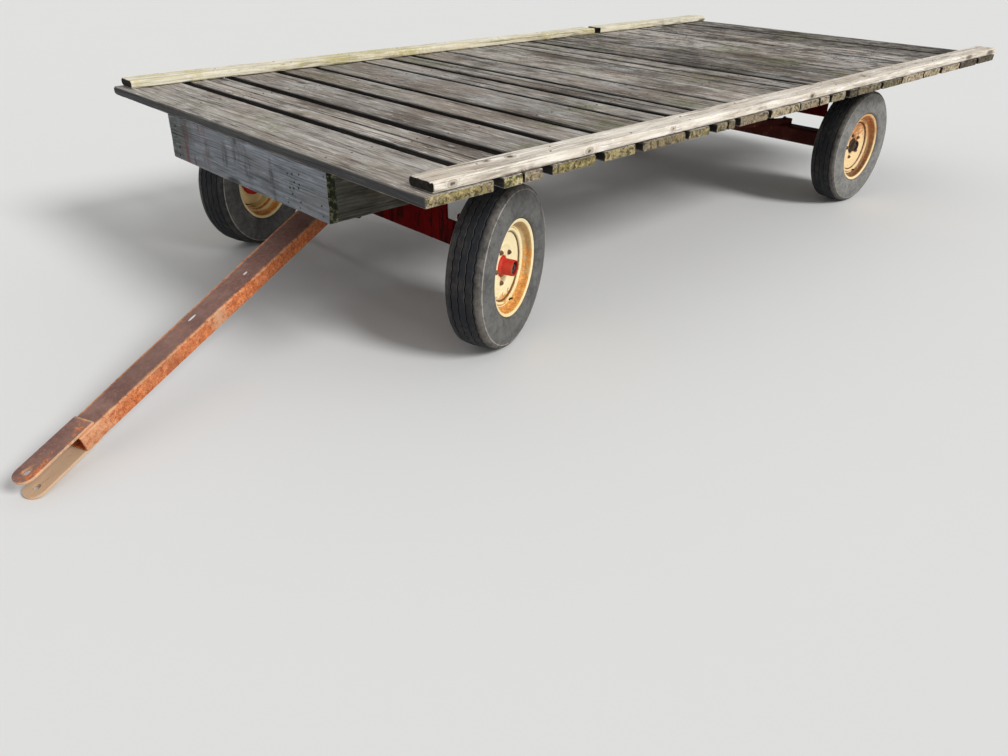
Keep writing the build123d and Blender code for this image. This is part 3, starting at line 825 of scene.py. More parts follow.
@dataclass(frozen=True)
class Board:
    """One worn board: a rounded section carried along its length.

    A point is centre + s L + a W + h T, where the section's place (a, h) is moved by cup, furrows, worn
    corners and long cracks, and s is moved at the ends by a ragged edge and a setback.
    """

    low: Vector
    high: Vector
    lengthwise: int
    seed: int
    corner: float = 0.005
    rag: float = 0.004
    ragged_share: float = 0.04
    setback: float = 0.0
    thinned: float = 0.0
    wander: float = 0.0
    cup: float = 0.0015
    relief: float = 0.0006
    cracks: int = 2
    crack_half_width: float = 0.0022
    spacing: float = 0.045
    pitch: float = 0.012
    knots: tuple[Spot, ...] = ()
    knot_shape: Triple = (1.0, 1.0, 1.0)
    growth: tuple[Spot, ...] = ()
    damp: tuple[Spot, ...] = ()
    bleach: tuple[Spot, ...] = ()
    patch_shape: Triple = (1.0, 2.4, 1.0)
    smears: tuple[Spot, ...] = ()
    smear_shape: Triple = (1.0, 1.0, 2.3)
    age: float = 0.0
    stain: Pair = (0.0, 0.0)
    olive: float = 0.5
    end_moss: float = 0.3
    outer_side_shade: Pair = (1.0, 1.0)

    def near(self, body: Array, spots: tuple[Spot, ...], shape: Triple) -> Array:
        """How near each point is to any of a few spots: exp(-(distance / reach)^2), with the spots drawn out.

        Args:
            body: The points.
            spots: Place and reach of each spot.
            shape: How many times longer a spot is along X, Y and Z.

        Returns:
            Numbers from 0 to 1.
        """
        found = np.zeros(len(body))
        for *place, reach in spots:
            gap = np.linalg.norm((body - place) / shape, axis=1)
            found = np.maximum(found, hump(gap, 0.0, reach))
        return found

    def crack_places(self, width: float, rng: np.random.Generator) -> tuple[Array, Array]:
        """Where the section's upper points lie across the board, with a number at each crack's floor.

        Args:
            width: The board's width.
            rng: Chooses where the cracks lie.

        Returns:
            Places from -1 to 1 between the corners, and the crack at each, counted from 1.
        """
        places = np.linspace(-1, 1, max(6, int(width / self.pitch)))
        half = self.crack_half_width / width
        for middle in rng.uniform(-0.8, 0.8, self.cracks):
            away = np.abs(places - middle) > 2.5 * half
            places = np.concatenate([places[away], middle + half * np.array([-1, 0, 1])])
        number = np.zeros(len(places))
        for crack in range(self.cracks):
            number[len(places) - 3 * (self.cracks - crack) + 1] = crack + 1
        order = np.argsort(places)
        return places[order], number[order]

    def section(self, width: float, depth: float, rng: np.random.Generator) -> Section:
        """The section: flanks, corners that turn through a quarter circle, and a top with cracks.

        Args:
            width: Its longer side.
            depth: Its shorter side.
            rng: Chooses where the cracks lie.

        Returns:
            Its points, how sharp each is, how much of the sides' painted shade each takes, its crack, and 1 on the
            flanks.
        """
        places, crack = self.crack_places(width, rng)
        r = self.corner
        turn = np.linspace(0, np.pi / 2, 5)
        inner, shoulder = width / 2 - r, depth / 2 - r
        flank, out = shoulder * np.array([0.2, 0.65]), np.full(2, width / 2)
        flat, outside = np.zeros(len(places)), np.zeros(6)
        low_corner = [-out, -inner - r * np.cos(turn)[:-1]]
        high_corner = [inner + r * np.sin(turn)[1:], out]
        rise, fall = shoulder + r * np.sin(turn)[:-1], shoulder + r * np.cos(turn)[1:]
        edge = np.array([0.0, 0.05, 0.2, 0.8, 1.0, 0.7])
        # Painted shade: full on the flanks, fading round the corners towards the top.
        side = np.array([1.0, 1.0, 1.0, 0.9, 0.6, 0.15])
        low_side, high_side = self.outer_side_shade
        is_flank = np.array([1.0, 1.0, 0.0, 0.0, 0.0, 0.0])
        return Section(
            across=np.concatenate([*low_corner, places * inner, *high_corner]),
            height=np.concatenate([flank, rise, flat + depth / 2, fall, flank[::-1]]),
            edge=np.concatenate([edge, flat, edge[::-1]]),
            side=np.concatenate([low_side * side, flat, high_side * side[::-1]]),
            crack=np.concatenate([outside, crack, outside]),
            flank=np.concatenate([is_flank, flat, is_flank[::-1]]),
        )

    def crack_depths(self, crack: Array, share: Array, rng: np.random.Generator) -> Array:
        """How deep the cracks are: each runs in from one end and grows shallower in a straight line.

        Args:
            crack: The number of the crack at each point of the section.
            share: Place along the board of each ring, from -0.5 to 0.5.
            rng: Chooses each crack's end, reach and depth.

        Returns:
            Depths for each ring and point.
        """
        depth = np.zeros((len(share), len(crack)))
        for number in range(1, self.cracks + 1):
            end, reach, sunk = rng.choice([-1, 1]), rng.uniform(0.08, 0.45), rng.uniform(0.003, 0.008)
            near_end = np.clip((end * share - 0.5 + reach) / reach, 0, 1)[:, None]
            depth += (crack == number)[None, :] * near_end * sunk
        return depth

    def rings(
        self, section: Section, length: float, width: float, depth: float, rng: np.random.Generator
    ) -> tuple[Array, Array, Array, Array]:
        """The rings of points along the board.

        Args:
            section: The section.
            length: The board's length.
            width: The section's longer side.
            depth: Its shorter side.
            rng: Shifts the noises and chooses the cracks.

        Returns:
            Places lengthwise, across and over the middle, and True for the end rings.
        """
        bevel = 0.35 * self.corner
        stations = np.linspace(-0.5, 0.5, max(12, int(length / self.spacing))) * (length - 2 * bevel)
        s = np.concatenate([[-length / 2], stations, [length / 2]])[:, None]
        is_end = np.abs(s) >= length / 2
        shift = 100.0 * rng.random()

        def noise(along: float, across: Array, number: int) -> Array:
            """One of the board's noises."""
            return smooth_noise(s * along + shift, across, self.seed + number)

        a = section.across[None, :] + 0 * s
        side = np.sign(a)
        slow = np.maximum(0, noise(7, side * 3 + 0.5, 1))
        quick = np.maximum(0, noise(31, side * 5 + 0.5, 5) - 0.1)
        worn = section.edge * (0.9 * slow + 0.8 * quick) * self.corner
        furrows = self.relief * noise(2.2, a * 190, 2)
        hollow = self.cup * ((2 * a / width) ** 2 - 1) + 0.6 * self.cup * (noise(1.3, a * 3, 3) - 1)
        crack = self.crack_depths(section.crack, s[:, 0] / length, rng)
        on_top = 1 - section.flank
        top = section.height - self.thinned * on_top
        top = top + (furrows - self.relief + hollow - crack - worn) * on_top
        bends = 0.5 - 0.5 * noise(2.6, side * 4, 6)
        a = a - side * (worn + self.wander * bends * np.abs(2 * a / width))
        bottom = -section.height + 0.5 * worn
        inset = bevel * is_end
        ring_a = np.concatenate([a, a[:, ::-1]], 1) * (1 - 2 * inset / width)
        ring_h = np.concatenate([top, bottom[:, ::-1]], 1) * (1 - 2 * inset / depth)
        rag = 0.5 + 0.5 * smooth_noise(ring_a * 45, ring_h * 60 + np.sign(s) * 7, self.seed + 4)
        fade = np.clip((np.abs(s) / length - 0.5 + self.ragged_share) / self.ragged_share, 0, 1)
        return s - np.sign(s) * self.rag * rag * fade, ring_a, ring_h, is_end

    def pith(self, centre: Array, width: float, upright: bool, rng: np.random.Generator) -> Array:
        """A place on the line that the growth rings lie round.

        Args:
            centre: The board's middle.
            width: The section's longer side.
            upright: Whether that side stands up.
            rng: Moves the line from board to board.

        Returns:
            The place, as an array of one row.
        """
        aside, lift = rng.uniform(-0.5, 0.5, 2) * width
        sunk = rng.uniform(0.01, 0.09)
        place = np.array(centre)
        place[self.lengthwise] = 0.0
        place[1 - self.lengthwise] += -0.03 if upright else aside
        place[2] += lift if upright else -sunk
        return place[None, :]

    def build(self, draft: Draft, tone: float, moss: float = 0.0) -> None:
        """Adds the board's surface.

        Args:
            draft: Where it goes.
            tone: How much lighter or darker it is, from -1 to 1.
            moss: How much grows along its edges, from 0 to 1.
        """
        rng = np.random.default_rng(self.seed)
        size, centre = np.array(self.high - self.low), np.array(self.high + self.low) / 2
        across_axis = 1 - self.lengthwise
        length, width, depth = size[self.lengthwise] - 2 * self.setback, size[across_axis], size[2]
        upright = depth > width
        if upright:
            width, depth = depth, width
        section = self.section(width, depth, rng)
        s, a, h, is_end = self.rings(section, length, width, depth, rng)
        offset = [s, s, s]
        offset[across_axis], offset[2] = (h, a) if upright else (a, h)
        body = (centre + np.stack(offset, -1)).reshape(-1, 3)
        rows, count = s.shape
        edge = np.concatenate([section.edge, 0.3 * section.edge[::-1]]) + 0 * s
        edge = np.maximum(edge, 0.6 * is_end)
        # The share of painted shade at each point of each ring.
        side = np.concatenate([section.side, section.side[::-1]]) + 0 * s
        on_edges = (moss * np.clip(edge + 0.25 * side, 0, 1)).ravel()
        place, reach = self.stain
        stain = np.exp(-(((body[:, self.lengthwise] - place) / reach) ** 4)) if reach else np.zeros(len(body))
        near = cap_quads(count)
        caps = np.concatenate([near, near[:, ::-1] + count]) + len(body)

        def capped(values: Array, at_ends: float = 0.0) -> Array:
            """Numbers at the body's points, with one number at the caps' own points."""
            return np.concatenate([values.ravel(), np.full(2 * count, at_ends)])

        draft.add(
            np.concatenate([body, body[:count], body[-count:]]),
            np.concatenate([ring_quads(rows, count, False), caps]),
            pith=self.pith(centre, width, upright, rng),
            board=rng.random(),
            tone=tone,
            olive=self.olive,
            age=self.age,
            edge=capped(edge),
            side=capped(side),
            knot=capped(self.near(body, self.knots, self.knot_shape)),
            stain=capped(stain),
            damp=capped(self.near(body, self.damp, self.patch_shape)),
            bleach=capped(self.near(body, self.bleach, self.patch_shape)),
            smear=capped(self.near(body, self.smears, self.smear_shape)),
            end=capped(np.zeros(len(body)), 1.0),
            moss=capped(np.maximum(on_edges, self.near(body, self.growth, (1.0, 1.0, 1.0))), self.end_moss),
        )


def solid_boxes(node: str) -> list[tuple[Vector, Vector]]:
    """The boxes of a node's separate solids, found where its sorted places along X leave a gap.

    Args:
        node: The CAD node, whose solids don't overlap along X.

    Returns:
        Lowest and highest corner of each, from the front back.
    """
    mesh = frame["nodes"][node].data
    places = np.zeros(len(mesh.vertices) * 3)
    mesh.vertices.foreach_get("co", places)
    corners = np.zeros(len(mesh.loops), int)
    mesh.loops.foreach_get("vertex_index", corners)
    spans = np.sort(places.reshape(-1, 3)[corners.reshape(-1, 3), 0], axis=1)[:, [0, 2]]
    spans = spans[np.argsort(spans[:, 0])]
    reach = np.maximum.accumulate(spans[:, 1])
    starts = np.concatenate([[0], np.nonzero(spans[1:, 0] > reach[:-1] + 1e-4)[0] + 1])
    ends = np.concatenate([starts[1:] - 1, [len(spans) - 1]])
    low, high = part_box(node)
    reaches = [(spans[start, 0], reach[end]) for start, end in zip(starts, ends)]
    return [(Vector((rear, low.y, low.z)), Vector((front, high.y, high.z))) for rear, front in reaches[::-1]]


@dataclass
class Deck:
    """Planks across the wagon, the rails along its edges, and the nails that hold them."""

    plank_finish: WeatheredWood
    near_rail_finish: WeatheredWood
    far_rail_finish: WeatheredWood
    nail_finish: NailRust
    sill_nodes: tuple[str, ...] = ("left_sill", "right_sill")
    rail_nodes: tuple[str, ...] = ("left_rail", "right_rail_front", "right_rail_rear")
    nail_radius: float = 0.0048
    nail_inset: float = 0.035
    rail_nail_pitch: float = 0.41
    wide_plank: float = 0.2
    # Share of painted shade on the outer faces of the front and rear planks.
    end_face_shade: float = 0.93
    top: float = 0.831
    rail_reach: dict[str, float] = field(default_factory=lambda: {"right_rail_front": 0.03})
    first_ends: tuple[Pair, ...] = (
        (0.9, 0.35), (0.55, 0.95), (0.15, 0.2), (0.95, 0.45), (0.75, 0.25), (0.5, 0.1), (0.7, 0.6),
    )
    mossy_places: tuple[Triple, ...] = (
        (0.56, 0.92, 0.10), (-0.06, 0.86, 0.09), (-0.69, 0.53, 0.11), (0.75, 0.76, 0.07),
        (-1.60, 0.47, 0.15), (-1.82, -0.04, 0.14), (-1.45, 0.95, 0.10), (1.10, 0.98, 0.07),
        (-1.15, -0.60, 0.10), (0.10, -0.75, 0.08),
    )
    damp_places: tuple[Triple, ...] = (
        (-1.12, 0.51, 0.10), (-1.37, 0.59, 0.13), (-1.65, 0.25, 0.11), (-1.40, -0.01, 0.09),
        (-1.04, 0.10, 0.10), (-0.53, 0.21, 0.09), (-0.81, 0.53, 0.10), (-1.78, 0.61, 0.08),
        (-0.33, 0.54, 0.11), (-0.03, 0.56, 0.08), (1.28, 0.83, 0.09), (1.26, -0.15, 0.10),
        (1.18, 0.28, 0.09), (0.34, -0.26, 0.08), (0.18, 0.33, 0.09), (0.73, 0.54, 0.09),
        (1.39, 0.72, 0.035), (-2.05, 0.20, 0.10), (-2.20, -0.40, 0.10), (-0.65, -0.55, 0.10),
    )
    bleached_places: tuple[Triple, ...] = (
        (-1.11, 0.70, 0.05), (-0.86, 0.87, 0.06), (-1.54, -0.48, 0.07), (-1.85, -0.24, 0.06),
        (-0.19, 0.33, 0.06), (-1.37, 0.80, 0.05), (0.45, -0.60, 0.08), (0.34, -0.39, 0.05),
        (0.38, -0.09, 0.05), (0.60, 0.20, 0.05), (0.22, 0.51, 0.05), (1.06, -0.60, 0.08),
        (0.55, 0.59, 0.05), (-2.15, 0.70, 0.07), (-0.60, 0.02, 0.05),
    )
    rail_knots: tuple[Spot, ...] = (
        (1.030, 1.219, 0.846, 0.016), (1.381, 1.219, 0.835, 0.013), (1.698, 1.219, 0.850, 0.016),
        (0.513, 1.219, 0.854, 0.014), (-0.62, 1.219, 0.848, 0.019), (1.364, 1.135, 0.869, 0.017),
        (1.471, 1.124, 0.869, 0.013), (-0.797, 1.105, 0.869, 0.016), (-1.271, 1.158, 0.869, 0.017),
    )

    def build_planks(self) -> None:
        """Makes the planks; each is set back a little at its ends, and moss grows at the mossy places."""
        draft = Draft()
        rng = np.random.default_rng(11)
        growth, damp, bleach = (
            tuple((x, y, self.top, reach) for x, y, reach in places)
            for places in (self.mossy_places, self.damp_places, self.bleached_places)
        )
        boxes = solid_boxes("deck_planks")
        last = len(boxes) - 1
        for number, (low, high) in enumerate(boxes):
            age = number / last
            if number < len(self.first_ends):
                olive, end_moss = self.first_ends[number]
            else:
                olive, end_moss = 0.30 * rng.random(), 0.6 * rng.random()
            # The front plank's front face and the rear plank's rear face take a smaller share of the painted
            # shade.
            board = Board(
                low, high, lengthwise=1, seed=100 + 10 * number, corner=0.006, rag=0.005,
                setback=rng.uniform(0.0, 0.006) if number else 0.0, thinned=rng.uniform(0.0, 0.0018),
                wander=0.0025 + 0.0030 * age, relief=0.0007, cracks=1 + number % 3, spacing=0.032,
                pitch=0.024, growth=growth, damp=damp, bleach=bleach, olive=olive, end_moss=end_moss, age=age,
                outer_side_shade=(1.0 if number < last else self.end_face_shade, 1.0 if number else self.end_face_shade),
            )
            board.build(draft, rng.uniform(-1, 1) * (0.5 + 0.8 * age), moss=0.15 + 0.45 * rng.random())
        draft.piece("weathered_planks", "wagon", self.plank_finish.build(), "deck_planks")

    def build_rails(self) -> None:
        """Makes the rails, whose corners are worn round; the right ones are yellower, with more lichen."""
        near, far = self.near_rail_finish.build(), self.far_rail_finish.build()
        for number, node in enumerate(self.rail_nodes):
            draft = Draft()
            low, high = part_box(node)
            high.x += self.rail_reach.get(node, 0.0)
            board = Board(
                low, high, lengthwise=0, seed=700 + 20 * number, corner=0.0065, rag=0.007, wander=0.0028,
                cup=0.001, relief=0.0010, cracks=3, spacing=0.014, pitch=0.010, knots=self.rail_knots,
                knot_shape=(1.5, 1.0, 1.0), olive=0.0, end_moss=0.0,
            )
            board.build(draft, 0.1 - 0.15 * number, moss=0.7 if number else 0.12)
            draft.piece(f"worn_{node}", "wagon", far if number else near, node)

    def nail(self, draft: Draft, x: float, y: float, top: float) -> None:
        """Adds one nail head, a flat dome sunk in the wood's top."""
        r = self.nail_radius
        rows = [(-0.004, 0.6 * r), (-0.0026, r), (-0.0018, 0.9 * r), (-0.0014, 0.5 * r)]
        stud(draft, pointing_up((x, y, top)), rows)

    def build_nails(self) -> None:
        """Makes two or three nails at each crossing of a plank and a sill, and pairs along the rails."""
        draft = Draft()
        rng = np.random.default_rng(5)
        for low, high in solid_boxes("deck_planks"):
            shares = (0.16, 0.5, 0.84) if high.x - low.x > self.wide_plank else (0.25, 0.75)
            for node in self.sill_nodes:
                sill_low, sill_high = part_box(node)
                for share in shares:
                    x = low.x + share * (high.x - low.x) + rng.normal(0, 0.006)
                    y = (sill_low.y + sill_high.y) / 2 + rng.normal(0, 0.012)
                    self.nail(draft, x, y, high.z)
        for node in self.rail_nodes:
            low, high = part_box(node)
            for x in np.arange(low.x + 0.12, high.x - 0.05, self.rail_nail_pitch):
                for y in (low.y + self.nail_inset, high.y - self.nail_inset):
                    self.nail(draft, x + rng.normal(0, 0.03), y + rng.normal(0, 0.008), high.z)
        draft.piece("deck_nails", "wagon", self.nail_finish.build())

    def build(self) -> None:
        """Makes the whole deck."""
        self.build_planks()
        self.build_rails()
        self.build_nails()


@dataclass
class SillFrame:
    """The two sills and the boards nailed across their ends."""

    # The sills' finish, darkened as painted shade.
    shaded_sill_finish: WeatheredWood
    # The end boards' finish, darkened blue-grey as painted shade.
    shaded_board_finish: WeatheredWood
    nail_finish: NailRust
    hole_radius: float = 0.0042
    front_stain: Pair = (-0.415, 0.13)
    front_holes: tuple[Pair, ...] = (
        (0.371, 0.727), (0.406, 0.732), (0.455, 0.740), (0.416, 0.702), (0.451, 0.701), (0.380, 0.673),
        (0.409, 0.677), (0.444, 0.685), (0.397, 0.653), (0.452, 0.632), (0.357, 0.610), (0.443, 0.608),
        (-0.569, 0.651), (-0.585, 0.742), (-0.578, 0.612), (0.627, 0.769), (0.598, 0.652), (0.606, 0.614),
    )
    rear_holes: tuple[Pair, ...] = (
        (0.602, 0.742), (0.596, 0.675), (0.604, 0.612), (-0.601, 0.737), (-0.594, 0.672), (-0.603, 0.614),
        (0.212, 0.716), (-0.165, 0.640),
    )
    smears: tuple[Spot, ...] = (
        (1.814, -0.132, 0.685, 0.026), (1.814, 0.062, 0.672, 0.027), (1.814, 0.243, 0.690, 0.016),
        (1.814, 0.252, 0.640, 0.012), (1.814, 0.257, 0.590, 0.012), (1.814, 0.246, 0.745, 0.012),
        (1.814, -0.03, 0.740, 0.030), (1.814, 0.03, 0.728, 0.028), (1.814, -0.29, 0.700, 0.016),
        (-2.44, 0.33, 0.60, 0.024), (-2.44, -0.21, 0.68, 0.020),
    )
    damp_ends: tuple[Spot, ...] = (
        (1.814, -0.60, 0.70, 0.11), (1.814, -0.50, 0.74, 0.07), (-2.44, 0.60, 0.62, 0.10),
    )

    def build_sills(self) -> None:
        """Makes the sills."""
        material = self.shaded_sill_finish.build()
        for number, node in enumerate(("left_sill", "right_sill")):
            draft = Draft()
            board = Board(*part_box(node), lengthwise=0, seed=900 + number, cracks=3, spacing=0.05, pitch=0.02)
            board.build(draft, -0.1, moss=0.25)
            draft.piece(f"old_{node}", "wagon", material, node)

    def build_boards(self) -> None:
        """Makes the end boards; the front one has a red-brown stain at its right end."""
        material = self.shaded_board_finish.build()
        stains = {"front_board": self.front_stain, "rear_board": (0.0, 0.0)}
        for number, (node, stain) in enumerate(stains.items()):
            draft = Draft()
            # Their tops take the full painted shade, a painted shadow under the planks' overhang; their bottoms
            # take a little.
            board = Board(
                *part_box(node), lengthwise=1, seed=940 + number, corner=0.004, cracks=3, spacing=0.010,
                pitch=0.008, smears=self.smears, outer_side_shade=(0.1, 1.0), stain=stain, olive=0.2, end_moss=0.6,
                damp=self.damp_ends, patch_shape=(1.0, 1.0, 1.6),
            )
            board.build(draft, 0.2, moss=0.35)
            draft.piece(f"old_{node}", "wagon", material, node)

    def build_holes(self) -> None:
        """Makes the nails and old nail holes in the end boards, near-black as painted shade inside the holes."""
        draft = Draft()
        r = self.hole_radius
        rows = [(-0.005, 0.6 * r), (-0.0022, r), (-0.0012, 0.8 * r), (-0.0009, 0.4 * r)]
        front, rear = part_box("front_board")[1].x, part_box("rear_board")[0].x
        for face, facing, holes in ((front, 1.0, self.front_holes), (rear, -1.0, self.rear_holes)):
            for y, z in holes:
                stud(draft, Axes(np.array((face, y, z)), facing * X_AXIS, Y_AXIS, Z_AXIS), rows)
        draft.piece("board_nails", "wagon", self.nail_finish.build())

    def build(self) -> None:
        """Makes the whole frame."""
        self.build_sills()
        self.build_boards()
        self.build_holes()


# Wheels


@dataclass(frozen=True)
class WheelStyle:
    """What the two wheels at one end of the wagon share."""

    rubber: Material
    rim_paint: Material
    hub_paint: Material
    bolt_steel: Material
    rim_slot: str
    hub_slot: str
    hub_reach: float
    # How far the rims' rust, fading and seat shade are turned round the wheel; turned half round, the tops are
    # darker and rustier and the bottoms paler: rust with painted shade above and painted light below.
    rust_and_shade_turn: float = 0.0
    # Extra rust over the whole disc where the step lies low; on the rear rims, at the top, it is partly painted
    # shade.
    disc_rust: float = 0.0


@dataclass
class Wheel:
    """One wheel: a ribbed tyre, a drop-centre rim with its dished disc, and a hub with five nuts."""

    end: str
    side: str
    style: WheelStyle
    radius: float = 0.3428
    crown: float = 0.0045
    tread_half_width: float = 0.060
    tread_edge: float = 0.318
    tread_wear: float = 0.0007
    groove_places: tuple[float, ...] = (-0.0455, -0.0150, 0.0150, 0.0455)
    groove_width: float = 0.0054
    groove_depth: float = 0.0075
    groove_lip: float = 0.0007
    wave: float = 0.0022
    waves_round: int = 46
    tyre_steps: int = 368
    wall_path: tuple[Pair, ...] = (
        (0.0600, 0.3383), (0.0670, 0.3370), (0.0725, 0.3330), (0.0752, 0.3268), (0.0760, 0.3240),
        (0.0782, 0.3224), (0.0798, 0.3206), (0.0786, 0.3186), (0.0788, 0.3160), (0.0812, 0.3080),
        (0.0845, 0.2940), (0.0868, 0.2760), (0.0876, 0.2600), (0.0876, 0.2450), (0.0866, 0.2310),
        (0.0842, 0.2195), (0.0800, 0.2112), (0.0732, 0.2064),
    )
    ridge_radius: float = 0.3210
    bead_radius: float = 0.1907
    flange_radius: float = 0.2035
    flange_width: float = 0.008
    seat_radius: float = 0.1904
    well_radius: float = 0.165
    rim_half_width: float = 0.0665
    rim_steps: int = 160
    wall: float = 0.005
    hub_steps: int = 96
    stud_circle: float = 0.070
    stud_count: int = 5
    stud_turn: float = 0.35
    valve_place: Pair = (0.034, 0.1640)
    valve_turn: float = math.radians(-104)
    valve_lean: float = 0.45

    @property
    def name(self) -> str:
        """The wheel's corner of the wagon."""
        return f"{self.end}_{self.side}"

    @property
    def body(self) -> str:
        """The CAD body that the wheel is."""
        return f"{self.name}_wheel"

    def axes(self) -> Axes:
        """The wheel's middle, its outboard direction, its forward direction and up."""
        joint = joint_named(f"{self.name}_spin")
        outboard = np.array(joint["axis"], float) * (1 if self.side == "left" else -1)
        return Axes(np.array(joint["pos_m"], float), outboard, np.cross(outboard, Z_AXIS), Z_AXIS)

    def tread_row(self) -> tuple[Array, Array, Array]:
        """Places across the tread, how deep each lies in a groove, and how much it waves.

        Returns:
            Places, depths as shares of the groove, and shares of the wave.
        """
        half, lip = self.groove_width / 2, self.groove_lip
        rows = []
        for place in self.groove_places:
            rows += [(place - half - lip, 0.0), (place - half, 0.12), (place - 0.7 * half, 1.0)]
            rows += [(place + 0.7 * half, 1.0), (place + half, 0.12), (place + half + lip, 0.0)]
            rows += [(place + 0.0150, 0.0)]
        place, depth = np.array(rows[:-1]).T
        return place, depth, np.clip((self.tread_half_width - 0.002 - np.abs(place)) / 0.010, 0, 1)

    def tyre_outline(self) -> tuple[Array, Array, Array, Array, Array]:
        """The tyre's outline: over the tread, round a ridged shoulder, down the wall to the bead, and back.

        Returns:
            An (n, 2) array of place and radius, and at each point how deep it lies in a groove, how much
            it waves, how much it is rubbed and how dusty it is.
        """
        place, depth, wave = self.tread_row()
        crown = self.radius - self.crown * (place / self.tread_half_width) ** 2
        c, lip = self.rim_half_width, self.flange_radius
        bead = [(c + 0.0012, lip + 0.0006), (c - 0.0003, lip - 0.004), (c - 0.0003, self.bead_radius)]
        wall = np.concatenate([curve_through(self.wall_path, 2), bead])
        ridge = np.clip(1.3 * hump(wall[:, 1], self.ridge_radius, 0.0019), 0, 1)
        dusty = np.clip((wall[:, 1] - 0.319) / 0.003, 0, 1)
        flat = np.zeros(2 * len(wall))
        rubbed = 0.15 * ((depth > 0) & (depth < 0.5))
        return (
            np.concatenate([np.stack([place, crown], -1), wall, (wall * (-1, 1))[::-1]]),
            np.concatenate([depth, flat]),
            np.concatenate([wave, flat]),
            np.concatenate([rubbed, ridge, ridge[::-1]]),
            # The inner shoulder takes a quarter of the outer one's dust: less dusty there, and darker as painted
            # shade.
            np.concatenate([np.zeros(len(place)), dusty, 0.25 * dusty[::-1]]),
        )

    def build_tyre(self) -> None:
        """Makes the tyre by turning its outline.

        At the angle t a point's place is x + wave f(n t), where f is a triangle wave, so the grooves go to
        and fro, and the radius falls by a noise that stands for wear.
        """
        outline, sunk, moves, edge, shoulder = self.tyre_outline()
        angle = np.linspace(0, 2 * np.pi, self.tyre_steps, endpoint=False)[:, None]
        ripple = np.abs(((angle * self.waves_round / (2 * np.pi)) % 1) * 2 - 1) * 2 - 1
        tread = np.clip((outline[:, 1] - self.tread_edge) / 0.003, 0, 1)
        seed = 40 + 7 * len(self.end) + len(self.side)
        noise = smooth_noise(angle * 20 / np.pi, outline[None, :, 0] * 60, seed)
        worn = self.tread_wear * (1 - noise) * tread
        place = outline[:, 0] + self.wave * moves * ripple
        radius = outline[:, 1] - self.groove_depth * sunk - worn * (sunk < 0.5)
        draft = Draft()
        lathe(
            draft, self.axes(), np.stack([place, radius], -1), self.tyre_steps,
            tread=tread, groove=sunk > 0.5, edge=edge, shoulder=shoulder,
        )
        draft.piece(f"ribbed_{self.name}_tyre", self.body, self.style.rubber, f"{self.name}_tyre")

    def build_section(self, draft: Draft, lower: Array) -> None:
        """Adds the rim's drop-centre section, with rust on its seats and in its well, and painted shade on its
        seats.

        Args:
            draft: Where it goes.
            lower: How low each step round the wheel lies, from 0 to 1.
        """
        w, f, c = self.wall, self.flange_width, self.rim_half_width
        lip, seat, well = self.flange_radius, self.seat_radius, self.well_radius
        outline = rounded_path([
            (-c - f, lip - 0.001, 0.002), (-c - f, lip - w, 0.002), (-c - 0.001, seat - w, 0.006),
            (-0.045, seat - w, 0.005), (-0.024, well - w, 0.006), (0.032, well - w, 0.006),
            (0.0368, well - w + 0.4 * (seat - well), 0), (0.044, seat - w, 0.005),
            (c + 0.001, seat - w, 0.006), (c + f, lip - w, 0.002), (c + f, lip - 0.001, 0.002),
            (c + 0.004, lip, 0.002), (c + 0.0005, lip - 0.006, 0.002), (c, seat, 0), (0.046, seat, 0),
            (0.034, well, 0), (-0.025, well, 0), (-0.047, seat, 0), (-c, seat, 0),
            (-c - 0.0005, lip - 0.006, 0.002), (-c - 0.004, lip, 0.002),
        ])
        place, radius = np.abs(outline[:, 0]), outline[:, 1]
        is_seat = (radius < seat - 0.0019) & (radius > well - w + 0.0095) & (place > 0.036)
        is_well = (radius < well - 0.002) & (place <= 0.035)
        # The seats take painted shade under the lips, a little less where the step lies low.
        lathe(
            draft, self.axes(), outline, self.rim_steps,
            rust=is_seat * (0.10 + 0.90 * lower**1.5) + is_well * (0.5 + 0.5 * lower),
            edge=0.4 * (place > c + 0.002), dirt=is_seat * (1 - 0.3 * lower), fade=1 - lower,
        )

    def build_disc(self, draft: Draft, lower: Array) -> None:
        """Adds the dished disc, with rust in its creases and a painted shadow line where it meets the rim.

        Args:
            draft: Where it goes.
            lower: How low each step round the wheel lies, from 0 to 1.
        """
        inner = self.well_radius - self.wall
        outline = rounded_path([
            (-0.008, inner + 0.0004, 0), (0.0320, inner + 0.0004, 0.002), (0.0370, inner - 0.003, 0.002),
            (0.0370, inner - 0.009, 0.004), (0.0250, inner - 0.017, 0.004), (0.0215, 0.102, 0.003),
            (0.0235, 0.094, 0.003), (0.0195, 0.080, 0.003), (0.0195, 0.050, 0.002), (0.017, 0.045, 0.001),
            (0.012, 0.045, 0.001), (0.0145, 0.053, 0.002), (0.0145, 0.079, 0.002), (0.0180, 0.096, 0.003),
            (0.0165, 0.102, 0.003), (0.0200, inner - 0.019, 0.004), (0.0320, inner - 0.010, 0.003),
            (0.0320, inner - 0.006, 0.003), (-0.008, inner - 0.005, 0),
        ])
        place, radius = outline.T
        creases = 0.9 * hump(radius, 0.1435, 0.0035) + 0.3 * hump(radius, 0.05, 0.010)
        reached = radius > (0.0 if self.style.disc_rust else 0.120)
        lathe(
            draft, self.axes(), outline, self.rim_steps,
            rust=creases * (0.6 + 0.4 * lower) + (0.35 + self.style.disc_rust) * lower**3 * reached,
            # A near-black ring where the disc meets the rim: a painted shadow line.
            bare=0.95 * hump(radius, 0.1440, 0.0030) * (place > 0.0), fade=1 - lower,
        )

